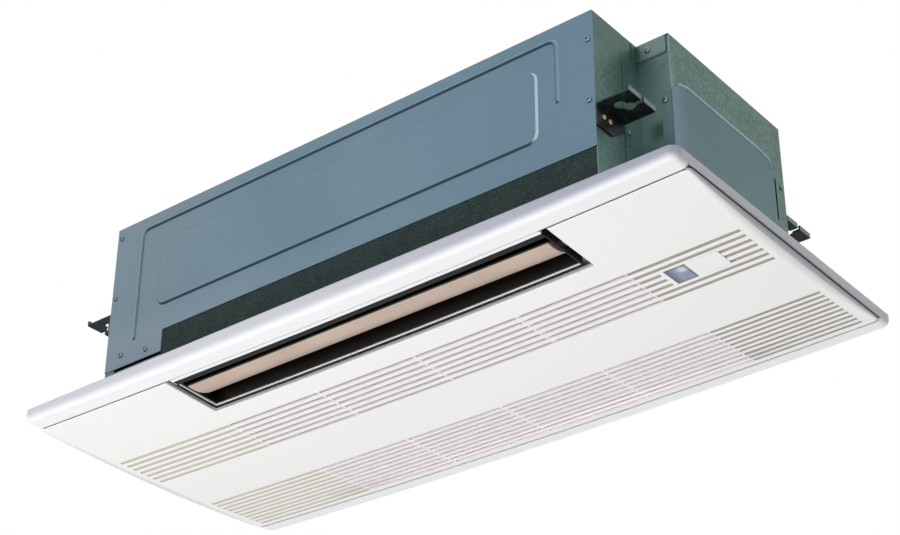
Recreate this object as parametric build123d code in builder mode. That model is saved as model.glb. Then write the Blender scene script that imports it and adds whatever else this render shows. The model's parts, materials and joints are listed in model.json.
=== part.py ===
from build123d import *
import os
from math import cos, sin, radians, sqrt

# One-way ceiling cassette air conditioner.
# Frame: millimetres, +Z up. The origin is the centre of the decoration panel on the ceiling plane.
# +X runs along the panel towards the control box, -Y is the air outlet side, +Y the wall side.

os.makedirs("parts", exist_ok=True)

# ---------------------------------------------------------------- driving dimensions
# decoration panel
PANEL_LENGTH = 1000.0
PANEL_WIDTH = 470.0
PANEL_CORNER = 12.0
PANEL_BASE = 3.0
PANEL_SIDE_WALL = 5.0
PANEL_SIDE_HEIGHT = 11.2
PANEL_RIM_ROUND = 9.0
RAIL_POCKET_DEPTH = 8.0
RAIL_WALL = 3.0
RAIL_POCKET_COUNT = 10

# domed underside, a shallow crown both ways
DOME_DEPTH = 29.0
DOME_CREST_Y = -15.65
DOME_RADIUS_Y = 3070.0
DOME_END_RISE = 6.5
DOME_SPACE = 36.0

# casing
BODY_LENGTH = 772.0
BODY_CENTRE_X = -6.0
BODY_DEPTH = 395.0
BODY_HEIGHT = 252.0
SHEET = 1.0
STEP_REACH = 44.0
STEP_FRONT = -106.5
STEP_REAR = 141.5
STEP_FLANGE = 34.0
FLAP_HEIGHT = 24.0
FRONT_SLOT_TOP = 67.0
FRONT_SLOT_LEFT = -290.0
FRONT_LOW_EDGE = 36.0
INSULATION_THICKNESS = 4.0
INSULATION_LAP = 5.0
EDGE_FLANGE = 16.0
BOTTOM_FLANGE = 22.0
FOOT_HEIGHT = 32.0

# air outlet, in line with the front of the casing
OUTLET_CENTRE_X = 25.0
OUTLET_LENGTH = 560.0
OUTLET_INSET = 3.0
OUTLET_WIDTH = 67.3
OUTLET_FRONT = -BODY_DEPTH / 2 + OUTLET_INSET
OUTLET_REAR = OUTLET_FRONT + OUTLET_WIDTH
OUTLET_LIP = 2.0
LIP_RECESS = 1.5
PARTING_GROOVE = 1.2
LINER_WALL = 1.6
LINER_RECESS = 4.0

# intake grille board, inside the side walls and rails of the panel
BOARD_END_MARGIN = 3.0
BOARD_SIDE_MARGIN = 29.0
GRILLE_LENGTH = PANEL_LENGTH - 2 * BOARD_END_MARGIN
GRILLE_WIDTH = PANEL_WIDTH - 2 * BOARD_SIDE_MARGIN
GRILLE_GAP = 2.5
GRILLE_SKIN = 2.5
GRILLE_CORNER = 8.0
GRILLE_TOP_GAP = 1.6
GRILLE_EDGE_ROUND = 1.5
HINGE_GAP = 3.0
NOTCH_MARGIN = 9.0
NOTCH_WALL_HEIGHT = 5.5

# grooves in the board
GROOVE_WIDTH = 5.5
GROOVE_DEPTH = 1.2
SLOT_WIDTH = 5.0
GROOVE_END_MARGIN = 17.0
GROOVE_HALF_SPAN = GRILLE_LENGTH / 2 - GROOVE_END_MARGIN
BAND_ONE_SETBACK = 49.2
BAND_ONE_FIRST_Y = OUTLET_REAR + BAND_ONE_SETBACK
BAND_ONE_PITCH = 12.0
BAND_ONE_COUNT = 7
BAND_TWO_PITCH = 11.0
BAND_TWO_COUNT = 10
BAND_TWO_SETBACK = 12.0
BAND_TWO_FIRST_Y = GRILLE_WIDTH / 2 - BAND_TWO_SETBACK - BAND_TWO_PITCH * (BAND_TWO_COUNT - 1)
OPEN_CENTRE_X = 26.0
OPEN_BAY = 153.5
OPEN_BAY_COUNT = 4
BRIDGE_WIDTH = 3.5

# receiver and blank cover, set into the first band
RECEIVER_LEFT = 368.5
RECEIVER_LENGTH = 27.0
COVER_LENGTH = 43.0
RECEIVER_SETBACK = 19.0
RECEIVER_FRONT = BAND_ONE_FIRST_Y + RECEIVER_SETBACK
RECEIVER_WIDTH = 33.0
POCKET_LENGTH = 7.0
POCKET_WIDTH = 6.0
POCKET_DEPTH = 2.0
FLUSH_GAP = 0.4
WINDOW_THICKNESS = 2.0

# pressed forms in the front plate
BEAD_WIDTH = 6.0
BEAD_HEIGHT = 1.6
BEAD_LEFT = -342.0
BEAD_RIGHT = 330.0
BEAD_TOP = 233.5
BEAD_LEFT_FOOT = 72.0
BEAD_RIGHT_FOOT = 147.0
FIELD_LEFT = -305.0
FIELD_RIGHT = 303.0
FIELD_BOTTOM = 103.0
FIELD_TOP = 204.0
FIELD_HEIGHT = 2.0
FIELD_CORNER = 15.0

# suspension brackets
ROD_SPACING_X = 813.0
ROD_SPACING_Y = 357.0
ROD_HOLE_RADIUS = 7.0
NOTCH_HOLE_STEP_X = 6.5
NOTCH_HOLE_STEP_Y = 8.5
BRACKET_LEVEL = 121.0
BRACKET_THICKNESS = 2.3
BRACKET_WIDTH = 54.0
BRACKET_REACH = 44.0
BRACKET_DROP = 28.0
BRACKET_LIP = 7.0
ROD_NOTCH = 5.5

# fan
FAN_SETBACK = 29.2
FAN_Y = OUTLET_REAR + FAN_SETBACK
FAN_Z = 122.0
FAN_RADIUS = 48.5
FAN_LENGTH = 546.0
BLADE_COUNT = 35
BLADE_CHORD = 12.0
BLADE_THICKNESS = 1.3
FAN_DISC_COUNT = 7
FAN_DISC_THICKNESS = 2.0
SHAFT_RADIUS = 4.0
SHAFT_CLEARANCE = 0.05
FAN_TIP_GAP = 4.5
DUCT_WALL = 3.0
DUCT_SIDE_THICKNESS = 5.0

# fan motor
MOTOR_RADIUS = 42.0
MOTOR_LENGTH = 46.0
MOTOR_BOSS = 6.0

# air vane
VANE_SETBACK = 34.5
VANE_Y = OUTLET_FRONT + VANE_SETBACK
VANE_Z = -8.0
VANE_CENTRE_Y = VANE_Y - 12.0
VANE_CENTRE_Z = VANE_Z + 37.6
VANE_ARC_RADIUS = 51.4
VANE_THICKNESS = 2.4
VANE_START_ANGLE = -104.0
VANE_END_ANGLE = -38.0
VANE_END_GAP = 3.0
SPINDLE_RADIUS = 2.5

# heat exchanger
COIL_ANGLE = 45.0
COIL_CENTRE_Y = 52.0
COIL_CENTRE_Z = 126.0
COIL_LENGTH = 190.0
COIL_THICKNESS = 38.0
COIL_LEFT = -284.0
COIL_RIGHT = 296.0
FIN_PITCH = 10.0
FIN_THICKNESS = 0.6
TUBE_RADIUS = 3.5
TUBE_CLEARANCE = 0.1
TUBE_ROWS = 2
TUBES_PER_ROW = 8
TUBE_PITCH = 22.0
ROW_PITCH = 19.0

# drain
PAN_FRONT = -60.0
PAN_REAR = 26.0
PAN_BOTTOM = 6.0
PAN_TOP = 46.0
PAN_WALL = 6.0
PUMP_X = -338.0
PUMP_Y = -30.0
PUMP_RADIUS = 20.0

# filter, hinge and latches
FILTER_THICKNESS = 3.0
FILTER_BAR = 6.0
FILTER_GAP = 1.5
HINGE_INSET = 3.0
HINGE_Y = GRILLE_WIDTH / 2 - HINGE_INSET
HINGE_Z = -16.2
HINGE_PIN_RADIUS = 1.5
HINGE_CLEARANCE = 0.05
HINGE_SPAN = 300.0
HINGE_ARM_WIDTH = 8.0
LATCH_LEFT_X = -380.0
LATCH_RIGHT_X = 410.0
LATCH_INSET = 20.0
LATCH_Y = -GRILLE_WIDTH / 2 + LATCH_INSET
PLUNGER_RADIUS = 3.0
PLUNGER_TRAVEL = 3.0
SEAT_GAP = 0.3

STRIKER_HEIGHT = 2.0
LATCH_BLOCK_X = 18.0
LATCH_BLOCK_Y = 14.0
LATCH_BLOCK_HEIGHT = 10.0

# vane drive and its bush
VANE_MOTOR_RADIUS = 7.5
VANE_MOTOR_LENGTH = 14.0
BUSH_RADIUS = 5.0
VANE_EAR = 2.5

# shaft bearing
BEARING_RADIUS = 11.0
CUSHION_RADIUS = 17.0
FIT = 0.05

# pipes
GAS_PIPE_RADIUS = 6.35
LIQUID_PIPE_RADIUS = 3.2
PIPE_WALL = 1.0
GAS_EXIT_Y = 60.0
GAS_EXIT_Z = 185.0
LIQUID_EXIT_Y = 95.0
LIQUID_EXIT_Z = 150.0
PIPE_REACH = 46.0
PIPE_HOLE_MARGIN = 1.5
HOSE_RADIUS = 7.0
NOZZLE_RADIUS = 5.0
DRAIN_EXIT_Z = 190.0

SCREW_HEAD_RADIUS = 3.6
SCREW_HEAD_HEIGHT = 2.2
SCREW_SHANK_RADIUS = 1.9
SCREW_HOLE_RADIUS = 2.0
SCREW_LENGTH = 8.0

# ---------------------------------------------------------------- places worked out from them
DOME_RADIUS_X = ((GRILLE_LENGTH / 2) ** 2 + DOME_END_RISE**2) / (2 * DOME_END_RISE)
DOME_AXIS_Z = DOME_RADIUS_X - DOME_DEPTH
DOME_HALF_ANGLE = 1.7

body_left = BODY_CENTRE_X - BODY_LENGTH / 2
body_right = BODY_CENTRE_X + BODY_LENGTH / 2
body_front = -BODY_DEPTH / 2
body_rear = BODY_DEPTH / 2
step_end = body_right + STEP_REACH

outlet_left = OUTLET_CENTRE_X - OUTLET_LENGTH / 2
outlet_right = OUTLET_CENTRE_X + OUTLET_LENGTH / 2
outlet_mid_y = (OUTLET_FRONT + OUTLET_REAR) / 2
outlet_depth = OUTLET_REAR - OUTLET_FRONT

board_front = -GRILLE_WIDTH / 2
board_rear = GRILLE_WIDTH / 2
rail_front = board_front - GRILLE_GAP
rail_rear = board_rear + HINGE_GAP
board_top = -PANEL_SIDE_HEIGHT - GRILLE_TOP_GAP

notch_left = outlet_left - OUTLET_LIP - NOTCH_MARGIN
notch_right = outlet_right + OUTLET_LIP + NOTCH_MARGIN
notch_rear = OUTLET_REAR + OUTLET_LIP + NOTCH_MARGIN

open_left = OPEN_CENTRE_X - OPEN_BAY * OPEN_BAY_COUNT / 2
open_right = OPEN_CENTRE_X + OPEN_BAY * OPEN_BAY_COUNT / 2
band_one = [BAND_ONE_FIRST_Y + BAND_ONE_PITCH * i for i in range(BAND_ONE_COUNT)]
band_two = [BAND_TWO_FIRST_Y + BAND_TWO_PITCH * i for i in range(BAND_TWO_COUNT)]

cover_left = RECEIVER_LEFT + RECEIVER_LENGTH
cover_right = cover_left + COVER_LENGTH
receiver_rear = RECEIVER_FRONT + RECEIVER_WIDTH
receiver_mid_y = (RECEIVER_FRONT + receiver_rear) / 2

filter_left = open_left - FILTER_BAR
filter_right = open_right + FILTER_BAR
filter_front = band_one[0] - GROOVE_WIDTH / 2 - FILTER_BAR
filter_rear = band_two[-1] + GROOVE_WIDTH / 2
intake_left = filter_left - 3.0
intake_right = filter_right + 3.0
intake_front = filter_front - 3.0
intake_rear = filter_rear + 3.0


def dome_height(x, y):
    """Height of the domed underside at a point of the plan."""
    across = (y - DOME_CREST_Y) ** 2 / (2 * DOME_RADIUS_Y)
    return -DOME_DEPTH + across + x**2 / (2 * DOME_RADIUS_X)


def dome_solid(lift):
    """Everything above the domed underside when that is raised by lift."""
    start = radians(-DOME_HALF_ANGLE)
    section = Plane(
        origin=(0, 0, DOME_AXIS_Z), x_dir=(0, 1, 0), z_dir=(-cos(start), 0, -sin(start))
    )
    radius = DOME_RADIUS_Y - lift
    centre_r = DOME_RADIUS_X - DOME_RADIUS_Y
    half = PANEL_WIDTH / 2 + 20
    left_r = centre_r + sqrt(radius**2 - (half + DOME_CREST_Y) ** 2)
    right_r = centre_r + sqrt(radius**2 - (half - DOME_CREST_Y) ** 2)
    top_r = DOME_RADIUS_X - DOME_DEPTH - DOME_SPACE
    with BuildPart() as dome:
        with BuildSketch(section):
            with BuildLine():
                Line((-half, left_r), (-half, top_r))
                Line((-half, top_r), (half, top_r))
                Line((half, top_r), (half, right_r))
                ThreePointArc((half, right_r), (DOME_CREST_Y, centre_r + radius), (-half, left_r))
            make_face()
        revolve(
            axis=Axis((0, 0, DOME_AXIS_Z), (0, -1, 0)), revolution_arc=2 * DOME_HALF_ANGLE
        )
    return dome.part


def block(x_low, x_high, y_low, y_high, z_low, z_high, mode=Mode.ADD):
    """A box given by its corners."""
    with Locations(((x_low + x_high) / 2, (y_low + y_high) / 2, (z_low + z_high) / 2)):
        return Box(x_high - x_low, y_high - y_low, z_high - z_low, mode=mode)


def save(part, name):
    """Label one finished piece and write its file."""
    part.label = name
    export_step(part, "parts/" + name + ".step")


UNDERSIDE = dome_solid(0)

# ---------------------------------------------------------------- decoration panel frame
surround_left = outlet_left - OUTLET_LIP
surround_right = outlet_right + OUTLET_LIP
surround_rear = OUTLET_REAR + OUTLET_LIP
vane_motor_room = VANE_MOTOR_RADIUS + 2.0
panel_screw_spots = [
    (body_left + BOTTOM_FLANGE / 2, -150),
    (body_left + BOTTOM_FLANGE / 2, 150),
    (body_right - BOTTOM_FLANGE / 2, -150),
    (body_right - BOTTOM_FLANGE / 2, 150),
]
PANEL_SCREW_HOLE = 2.6

with BuildPart() as parting_cut:
    block(
        surround_left,
        surround_right,
        rail_front,
        rail_front + PARTING_GROOVE,
        -DOME_SPACE,
        -DOME_SPACE / 2,
    )
    add(dome_solid(PARTING_GROOVE), mode=Mode.SUBTRACT)

with BuildPart() as lip_cut:
    block(surround_left, surround_right, OUTLET_FRONT, surround_rear, -DOME_SPACE, -DOME_SPACE / 3)
    add(dome_solid(LIP_RECESS), mode=Mode.SUBTRACT)

with BuildPart() as panel_frame:
    with BuildSketch(Plane.XY.offset(-DOME_SPACE)):
        RectangleRounded(PANEL_LENGTH, PANEL_WIDTH, PANEL_CORNER)
    extrude(amount=DOME_SPACE)
    add(UNDERSIDE, mode=Mode.INTERSECT)
    fillet(panel_frame.faces().sort_by(Axis.Z)[0].outer_wire().edges(), PANEL_RIM_ROUND)
    # room for the board below the side walls
    with BuildSketch(Plane.XY.offset(-DOME_SPACE)):
        with Locations((0, (rail_front + rail_rear) / 2)):
            Rectangle(PANEL_LENGTH + 2, rail_rear - rail_front)
        with Locations((OUTLET_CENTRE_X, (rail_front + surround_rear) / 2)):
            Rectangle(
                surround_right - surround_left, surround_rear - rail_front, mode=Mode.SUBTRACT
            )
    extrude(amount=DOME_SPACE - PANEL_SIDE_HEIGHT, mode=Mode.SUBTRACT)
    # the hollow above the board, inside the side walls
    with BuildSketch(Plane.XY.offset(-PANEL_SIDE_HEIGHT - 1)):
        with Locations((0, (rail_front + rail_rear) / 2)):
            Rectangle(PANEL_LENGTH - 2 * PANEL_SIDE_WALL, rail_rear - rail_front)
        with Locations((OUTLET_CENTRE_X, (rail_front + surround_rear) / 2)):
            Rectangle(
                surround_right - surround_left, surround_rear - rail_front, mode=Mode.SUBTRACT
            )
    extrude(amount=PANEL_SIDE_HEIGHT + 1 - PANEL_BASE, mode=Mode.SUBTRACT)
    # outlet and intake
    block(outlet_left, outlet_right, OUTLET_FRONT, OUTLET_REAR, -DOME_SPACE, 1, mode=Mode.SUBTRACT)
    block(intake_left, intake_right, intake_front, intake_rear, -PANEL_BASE - 1, 1, mode=Mode.SUBTRACT)
    # room for the vane drive, and the holes for its bush and shaft
    block(
        surround_right,
        surround_right + VANE_MOTOR_LENGTH + 2,
        VANE_Y - vane_motor_room,
        VANE_Y + vane_motor_room,
        -PANEL_BASE - 1,
        1,
        mode=Mode.SUBTRACT,
    )
    with Locations(Location((OUTLET_CENTRE_X, VANE_Y, VANE_Z), (0, 90, 0))):
        Cylinder(BUSH_RADIUS + FIT, surround_right - surround_left + 2, mode=Mode.SUBTRACT)
    add(parting_cut.part, mode=Mode.SUBTRACT)
    add(lip_cut.part, mode=Mode.SUBTRACT)
    # hollows in the two rails, open to the ceiling
    rail_rear_width = PANEL_WIDTH / 2 - rail_rear - 2 * RAIL_WALL
    rail_pitch = (PANEL_LENGTH - 2 * PANEL_CORNER) / RAIL_POCKET_COUNT
    with Locations((0, (PANEL_WIDTH / 2 + rail_rear) / 2, 0)):
        with GridLocations(rail_pitch, 1, RAIL_POCKET_COUNT, 1):
            Box(
                rail_pitch - RAIL_WALL,
                rail_rear_width,
                2 * RAIL_POCKET_DEPTH,
                mode=Mode.SUBTRACT,
            )
    rail_front_width = PANEL_WIDTH / 2 + rail_front - 2 * RAIL_WALL
    with Locations((0, (rail_front - PANEL_WIDTH / 2) / 2, 0)):
        with GridLocations(rail_pitch, 1, RAIL_POCKET_COUNT, 1):
            Box(
                rail_pitch - RAIL_WALL,
                rail_front_width,
                2 * RAIL_POCKET_DEPTH,
                mode=Mode.SUBTRACT,
            )
    with Locations(*panel_screw_spots):
        Cylinder(PANEL_SCREW_HOLE, 4 * PANEL_BASE, mode=Mode.SUBTRACT)
save(panel_frame.part, "panel_frame")

# ---------------------------------------------------------------- outlet liner
with BuildPart() as outlet_liner:
    block(outlet_left, outlet_right, OUTLET_FRONT, OUTLET_REAR, -DOME_SPACE, 0)
    add(dome_solid(LINER_RECESS), mode=Mode.INTERSECT)
    block(
        outlet_left + LINER_WALL,
        outlet_right - LINER_WALL,
        OUTLET_FRONT + LINER_WALL,
        OUTLET_REAR - LINER_WALL,
        -DOME_SPACE,
        1,
        mode=Mode.SUBTRACT,
    )
    with Locations(Location((OUTLET_CENTRE_X, VANE_Y, VANE_Z), (0, 90, 0))):
        Cylinder(BUSH_RADIUS + FIT, OUTLET_LENGTH + 2, mode=Mode.SUBTRACT)
save(outlet_liner.part, "outlet_liner")

# ---------------------------------------------------------------- air vane and its drive
vane_left = outlet_left + LINER_WALL + VANE_END_GAP
vane_right = outlet_right - LINER_WALL - VANE_END_GAP
vane_inner_radius = VANE_ARC_RADIUS - VANE_THICKNESS


def vane_point(radius, angle):
    """A point of the vane's section, as plan Y and height."""
    return (
        VANE_CENTRE_Y + radius * cos(radians(angle)),
        VANE_CENTRE_Z + radius * sin(radians(angle)),
    )


VANE_MID_ANGLE = (VANE_START_ANGLE + VANE_END_ANGLE) / 2

with BuildPart() as air_vane:
    with BuildSketch(Plane.YZ.offset(vane_left)):
        with BuildLine():
            ThreePointArc(
                vane_point(VANE_ARC_RADIUS, VANE_START_ANGLE),
                vane_point(VANE_ARC_RADIUS, VANE_MID_ANGLE),
                vane_point(VANE_ARC_RADIUS, VANE_END_ANGLE),
            )
            Line(
                vane_point(VANE_ARC_RADIUS, VANE_END_ANGLE),
                vane_point(vane_inner_radius, VANE_END_ANGLE),
            )
            ThreePointArc(
                vane_point(vane_inner_radius, VANE_END_ANGLE),
                vane_point(vane_inner_radius, VANE_MID_ANGLE),
                vane_point(vane_inner_radius, VANE_START_ANGLE),
            )
            Line(
                vane_point(vane_inner_radius, VANE_START_ANGLE),
                vane_point(VANE_ARC_RADIUS, VANE_START_ANGLE),
            )
        make_face()
    extrude(amount=vane_right - vane_left)
    # an ear at each end reaches up to the spindle
    with BuildSketch(Plane.YZ.offset(vane_left), Plane.YZ.offset(vane_right - VANE_EAR)):
        with BuildLine():
            ThreePointArc(
                vane_point(VANE_ARC_RADIUS, VANE_START_ANGLE),
                vane_point(VANE_ARC_RADIUS, VANE_MID_ANGLE),
                vane_point(VANE_ARC_RADIUS, VANE_END_ANGLE),
            )
            Line(vane_point(VANE_ARC_RADIUS, VANE_END_ANGLE), (VANE_Y, VANE_Z))
            Line((VANE_Y, VANE_Z), vane_point(VANE_ARC_RADIUS, VANE_START_ANGLE))
        make_face()
        with Locations((VANE_Y, VANE_Z)):
            Circle(2 * SPINDLE_RADIUS)
    extrude(amount=VANE_EAR)
    with BuildSketch(Plane.YZ.offset(vane_left)):
        with Locations((VANE_Y, VANE_Z)):
            Circle(SPINDLE_RADIUS + FIT)
    extrude(amount=vane_right - vane_left, mode=Mode.SUBTRACT)
save(air_vane.part, "air_vane")

SPINDLE_OVERLAP = 6.0
spindle_left_end = surround_left
spindle_right_end = surround_right + VANE_MOTOR_LENGTH - 4
with BuildPart() as vane_spindles:
    with BuildSketch(Plane.YZ.offset(spindle_left_end)):
        with Locations((VANE_Y, VANE_Z)):
            Circle(SPINDLE_RADIUS)
    extrude(amount=vane_left + SPINDLE_OVERLAP - spindle_left_end)
    with BuildSketch(Plane.YZ.offset(vane_right - SPINDLE_OVERLAP)):
        with Locations((VANE_Y, VANE_Z)):
            Circle(SPINDLE_RADIUS)
    extrude(amount=spindle_right_end - vane_right + SPINDLE_OVERLAP)
save(vane_spindles.part, "vane_spindles")

BUSH_FLANGE = 1.2
with BuildPart() as vane_bush:
    with BuildSketch(
        Plane.YZ.offset(surround_left), Plane.YZ.offset(outlet_right - LINER_WALL)
    ):
        with Locations((VANE_Y, VANE_Z)):
            Circle(BUSH_RADIUS)
            Circle(SPINDLE_RADIUS + FIT, mode=Mode.SUBTRACT)
    extrude(amount=OUTLET_LIP + LINER_WALL)
    with BuildSketch(
        Plane.YZ.offset(outlet_left + LINER_WALL),
        Plane.YZ.offset(outlet_right - LINER_WALL - BUSH_FLANGE),
    ):
        with Locations((VANE_Y, VANE_Z)):
            Circle(BUSH_RADIUS + 1.5)
            Circle(SPINDLE_RADIUS + FIT, mode=Mode.SUBTRACT)
    extrude(amount=BUSH_FLANGE)
save(vane_bush.part, "vane_bushes")

with BuildPart() as vane_motor:
    with BuildSketch(Plane.YZ.offset(surround_right)):
        with Locations((VANE_Y, VANE_Z)):
            Circle(VANE_MOTOR_RADIUS)
    extrude(amount=VANE_MOTOR_LENGTH)
    with BuildSketch(Plane.YZ.offset(surround_right)):
        with Locations((VANE_Y, VANE_Z)):
            Circle(SPINDLE_RADIUS + FIT)
    extrude(amount=VANE_MOTOR_LENGTH - 3, mode=Mode.SUBTRACT)
save(vane_motor.part, "vane_motor")

# ---------------------------------------------------------------- intake grille board
board_wall = GRILLE_SKIN
receiver_rows = [y for y in band_one if RECEIVER_FRONT < y < receiver_rear]
hinge_xs = [-HINGE_SPAN / 2, HINGE_SPAN / 2]
ARM_CLEAR = 0.6
EAR_WIDTH = 3.0
EAR_GAP = 0.3
EAR_RADIUS = 2.9
ARM_TIP_RADIUS = 2.5
ARM_RECESS = 2.9
ear_outer = HINGE_ARM_WIDTH / 2 + EAR_GAP + EAR_WIDTH

with BuildPart() as groove_cut:
    with BuildSketch(Plane.XY.offset(-DOME_SPACE)):
        for y in band_one + band_two:
            with Locations((0, y)):
                Rectangle(2 * GROOVE_HALF_SPAN, GROOVE_WIDTH)
        # the receiver and its cover interrupt the rows beside them
        with Locations(((RECEIVER_LEFT - GROOVE_WIDTH + cover_right) / 2, receiver_mid_y)):
            Rectangle(
                cover_right - RECEIVER_LEFT + GROOVE_WIDTH,
                RECEIVER_WIDTH + GROOVE_WIDTH,
                mode=Mode.SUBTRACT,
            )
    extrude(amount=DOME_SPACE)
    add(dome_solid(GROOVE_DEPTH), mode=Mode.SUBTRACT)

with BuildPart() as pocket_cut:
    # a small wedge shaped pocket where each interrupted row starts again beside the cover
    with BuildSketch(Plane.XY.offset(-DOME_SPACE)):
        for y in receiver_rows:
            with BuildLine():
                Polyline(
                    (cover_right - 1, y - POCKET_WIDTH / 2),
                    (cover_right + POCKET_LENGTH, y),
                    (cover_right - 1, y + POCKET_WIDTH / 2),
                    close=True,
                )
            make_face()
    extrude(amount=DOME_SPACE)
    add(dome_solid(POCKET_DEPTH), mode=Mode.SUBTRACT)

with BuildPart() as board_hollow:
    with BuildSketch(Plane.XY.offset(-DOME_SPACE)):
        RectangleRounded(
            GRILLE_LENGTH - 2 * board_wall, GRILLE_WIDTH - 2 * board_wall, GRILLE_CORNER - board_wall
        )
        with Locations((OUTLET_CENTRE_X, (board_front + notch_rear + board_wall) / 2)):
            Rectangle(
                notch_right - notch_left + 2 * board_wall,
                notch_rear + board_wall - board_front,
                mode=Mode.SUBTRACT,
            )
    extrude(amount=DOME_SPACE + board_top)
    add(dome_solid(GRILLE_SKIN), mode=Mode.INTERSECT)

with BuildPart() as notch_relief:
    # the wall round the outlet notch is lower than the outer wall
    with BuildSketch(Plane.XY.offset(-DOME_SPACE)):
        with Locations((OUTLET_CENTRE_X, (board_front + notch_rear) / 2)):
            Rectangle(
                notch_right - notch_left + 4 * board_wall,
                notch_rear - board_front + 4 * board_wall,
            )
        with Locations((OUTLET_CENTRE_X, board_front - board_wall)):
            Rectangle(GRILLE_LENGTH, 4 * board_wall, mode=Mode.SUBTRACT)
    extrude(amount=DOME_SPACE + board_top)
    add(dome_solid(NOTCH_WALL_HEIGHT), mode=Mode.INTERSECT)

with BuildPart() as intake_grille:
    with BuildSketch(Plane.XY.offset(-DOME_SPACE)):
        RectangleRounded(GRILLE_LENGTH, GRILLE_WIDTH, GRILLE_CORNER)
        with Locations((OUTLET_CENTRE_X, (board_front + notch_rear) / 2 - 5)):
            Rectangle(notch_right - notch_left, notch_rear - board_front + 10, mode=Mode.SUBTRACT)
    extrude(amount=DOME_SPACE + board_top)
    add(UNDERSIDE, mode=Mode.INTERSECT)
    fillet(intake_grille.faces().sort_by(Axis.Z)[0].outer_wire().edges(), GRILLE_EDGE_ROUND)
    add(board_hollow.part, mode=Mode.SUBTRACT)
    add(notch_relief.part, mode=Mode.SUBTRACT)
    # room for the hinge arms
    for x in hinge_xs:
        block(
            x - HINGE_ARM_WIDTH / 2 - EAR_GAP,
            x + HINGE_ARM_WIDTH / 2 + EAR_GAP,
            HINGE_Y - ARM_TIP_RADIUS - ARM_CLEAR,
            board_rear + 1,
            HINGE_Z - ARM_RECESS,
            board_top + 1,
            mode=Mode.SUBTRACT,
        )
        for side in (-1, 1):
            ear_x = x + side * (HINGE_ARM_WIDTH / 2 + EAR_GAP + EAR_WIDTH / 2)
            with Locations(Location((ear_x, HINGE_Y, HINGE_Z), (0, 90, 0))):
                Cylinder(EAR_RADIUS, EAR_WIDTH)
            block(
                ear_x - EAR_WIDTH / 2,
                ear_x + EAR_WIDTH / 2,
                HINGE_Y - EAR_RADIUS,
                board_rear - board_wall,
                HINGE_Z - EAR_RADIUS,
                HINGE_Z,
            )
        with Locations(Location((x, HINGE_Y, HINGE_Z), (0, 90, 0))):
            Cylinder(HINGE_PIN_RADIUS + HINGE_CLEARANCE, 2 * ear_outer + 3, mode=Mode.SUBTRACT)
    add(groove_cut.part, mode=Mode.SUBTRACT)
    add(pocket_cut.part, mode=Mode.SUBTRACT)
    # the middle of every groove is open, bay by bay
    with BuildSketch(Plane.XY.offset(-DOME_SPACE)):
        for y in band_one + band_two:
            with Locations((OPEN_CENTRE_X, y)):
                with GridLocations(OPEN_BAY, 1, OPEN_BAY_COUNT, 1):
                    Rectangle(OPEN_BAY - BRIDGE_WIDTH, SLOT_WIDTH)
    extrude(amount=DOME_SPACE, mode=Mode.SUBTRACT)
    # window for the receiver and the cover
    block(
        RECEIVER_LEFT,
        cover_right,
        RECEIVER_FRONT,
        receiver_rear,
        -DOME_SPACE,
        board_top,
        mode=Mode.SUBTRACT,
    )
save(intake_grille.part, "intake_grille")

with BuildPart() as hinge_arms:
    for x in hinge_xs:
        block(
            x - HINGE_ARM_WIDTH / 2,
            x + HINGE_ARM_WIDTH / 2,
            HINGE_Y - ARM_TIP_RADIUS,
            HINGE_Y + ARM_TIP_RADIUS,
            HINGE_Z,
            -PANEL_BASE,
        )
        with Locations(Location((x, HINGE_Y, HINGE_Z), (0, 90, 0))):
            Cylinder(ARM_TIP_RADIUS, HINGE_ARM_WIDTH)
            Cylinder(HINGE_PIN_RADIUS, 2 * ear_outer)
save(hinge_arms.part, "hinge_arms")

# ---------------------------------------------------------------- receiver and cover
with BuildPart() as receiver_window:
    block(
        RECEIVER_LEFT + FLUSH_GAP,
        cover_left - FLUSH_GAP,
        RECEIVER_FRONT + FLUSH_GAP,
        receiver_rear - FLUSH_GAP,
        -DOME_SPACE,
        -PANEL_BASE,
    )
    add(UNDERSIDE, mode=Mode.INTERSECT)
    add(dome_solid(WINDOW_THICKNESS), mode=Mode.SUBTRACT)
save(receiver_window.part, "receiver_window")

HOUSING_INSET = 1.5
with BuildPart() as receiver_housing:
    block(
        RECEIVER_LEFT + HOUSING_INSET,
        cover_left - HOUSING_INSET,
        RECEIVER_FRONT + HOUSING_INSET,
        receiver_rear - HOUSING_INSET,
        -DOME_SPACE,
        -PANEL_BASE,
    )
    add(dome_solid(WINDOW_THICKNESS), mode=Mode.INTERSECT)
save(receiver_housing.part, "receiver_housing")

COVER_FLANGE = 3.0
COVER_FLANGE_THICKNESS = 1.5
with BuildPart() as cover_back:
    block(
        cover_left + FLUSH_GAP,
        cover_right + COVER_FLANGE,
        RECEIVER_FRONT - COVER_FLANGE,
        receiver_rear + COVER_FLANGE,
        -DOME_SPACE,
        -DOME_SPACE / 3,
    )
    add(dome_solid(GRILLE_SKIN), mode=Mode.INTERSECT)
    add(dome_solid(GRILLE_SKIN + COVER_FLANGE_THICKNESS), mode=Mode.SUBTRACT)

with BuildPart() as blank_cover:
    block(
        cover_left + FLUSH_GAP,
        cover_right - FLUSH_GAP,
        RECEIVER_FRONT + FLUSH_GAP,
        receiver_rear - FLUSH_GAP,
        -DOME_SPACE,
        -DOME_SPACE / 3,
    )
    add(UNDERSIDE, mode=Mode.INTERSECT)
    add(dome_solid(GRILLE_SKIN + COVER_FLANGE_THICKNESS), mode=Mode.SUBTRACT)
    add(cover_back.part)
save(blank_cover.part, "blank_cover")

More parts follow.
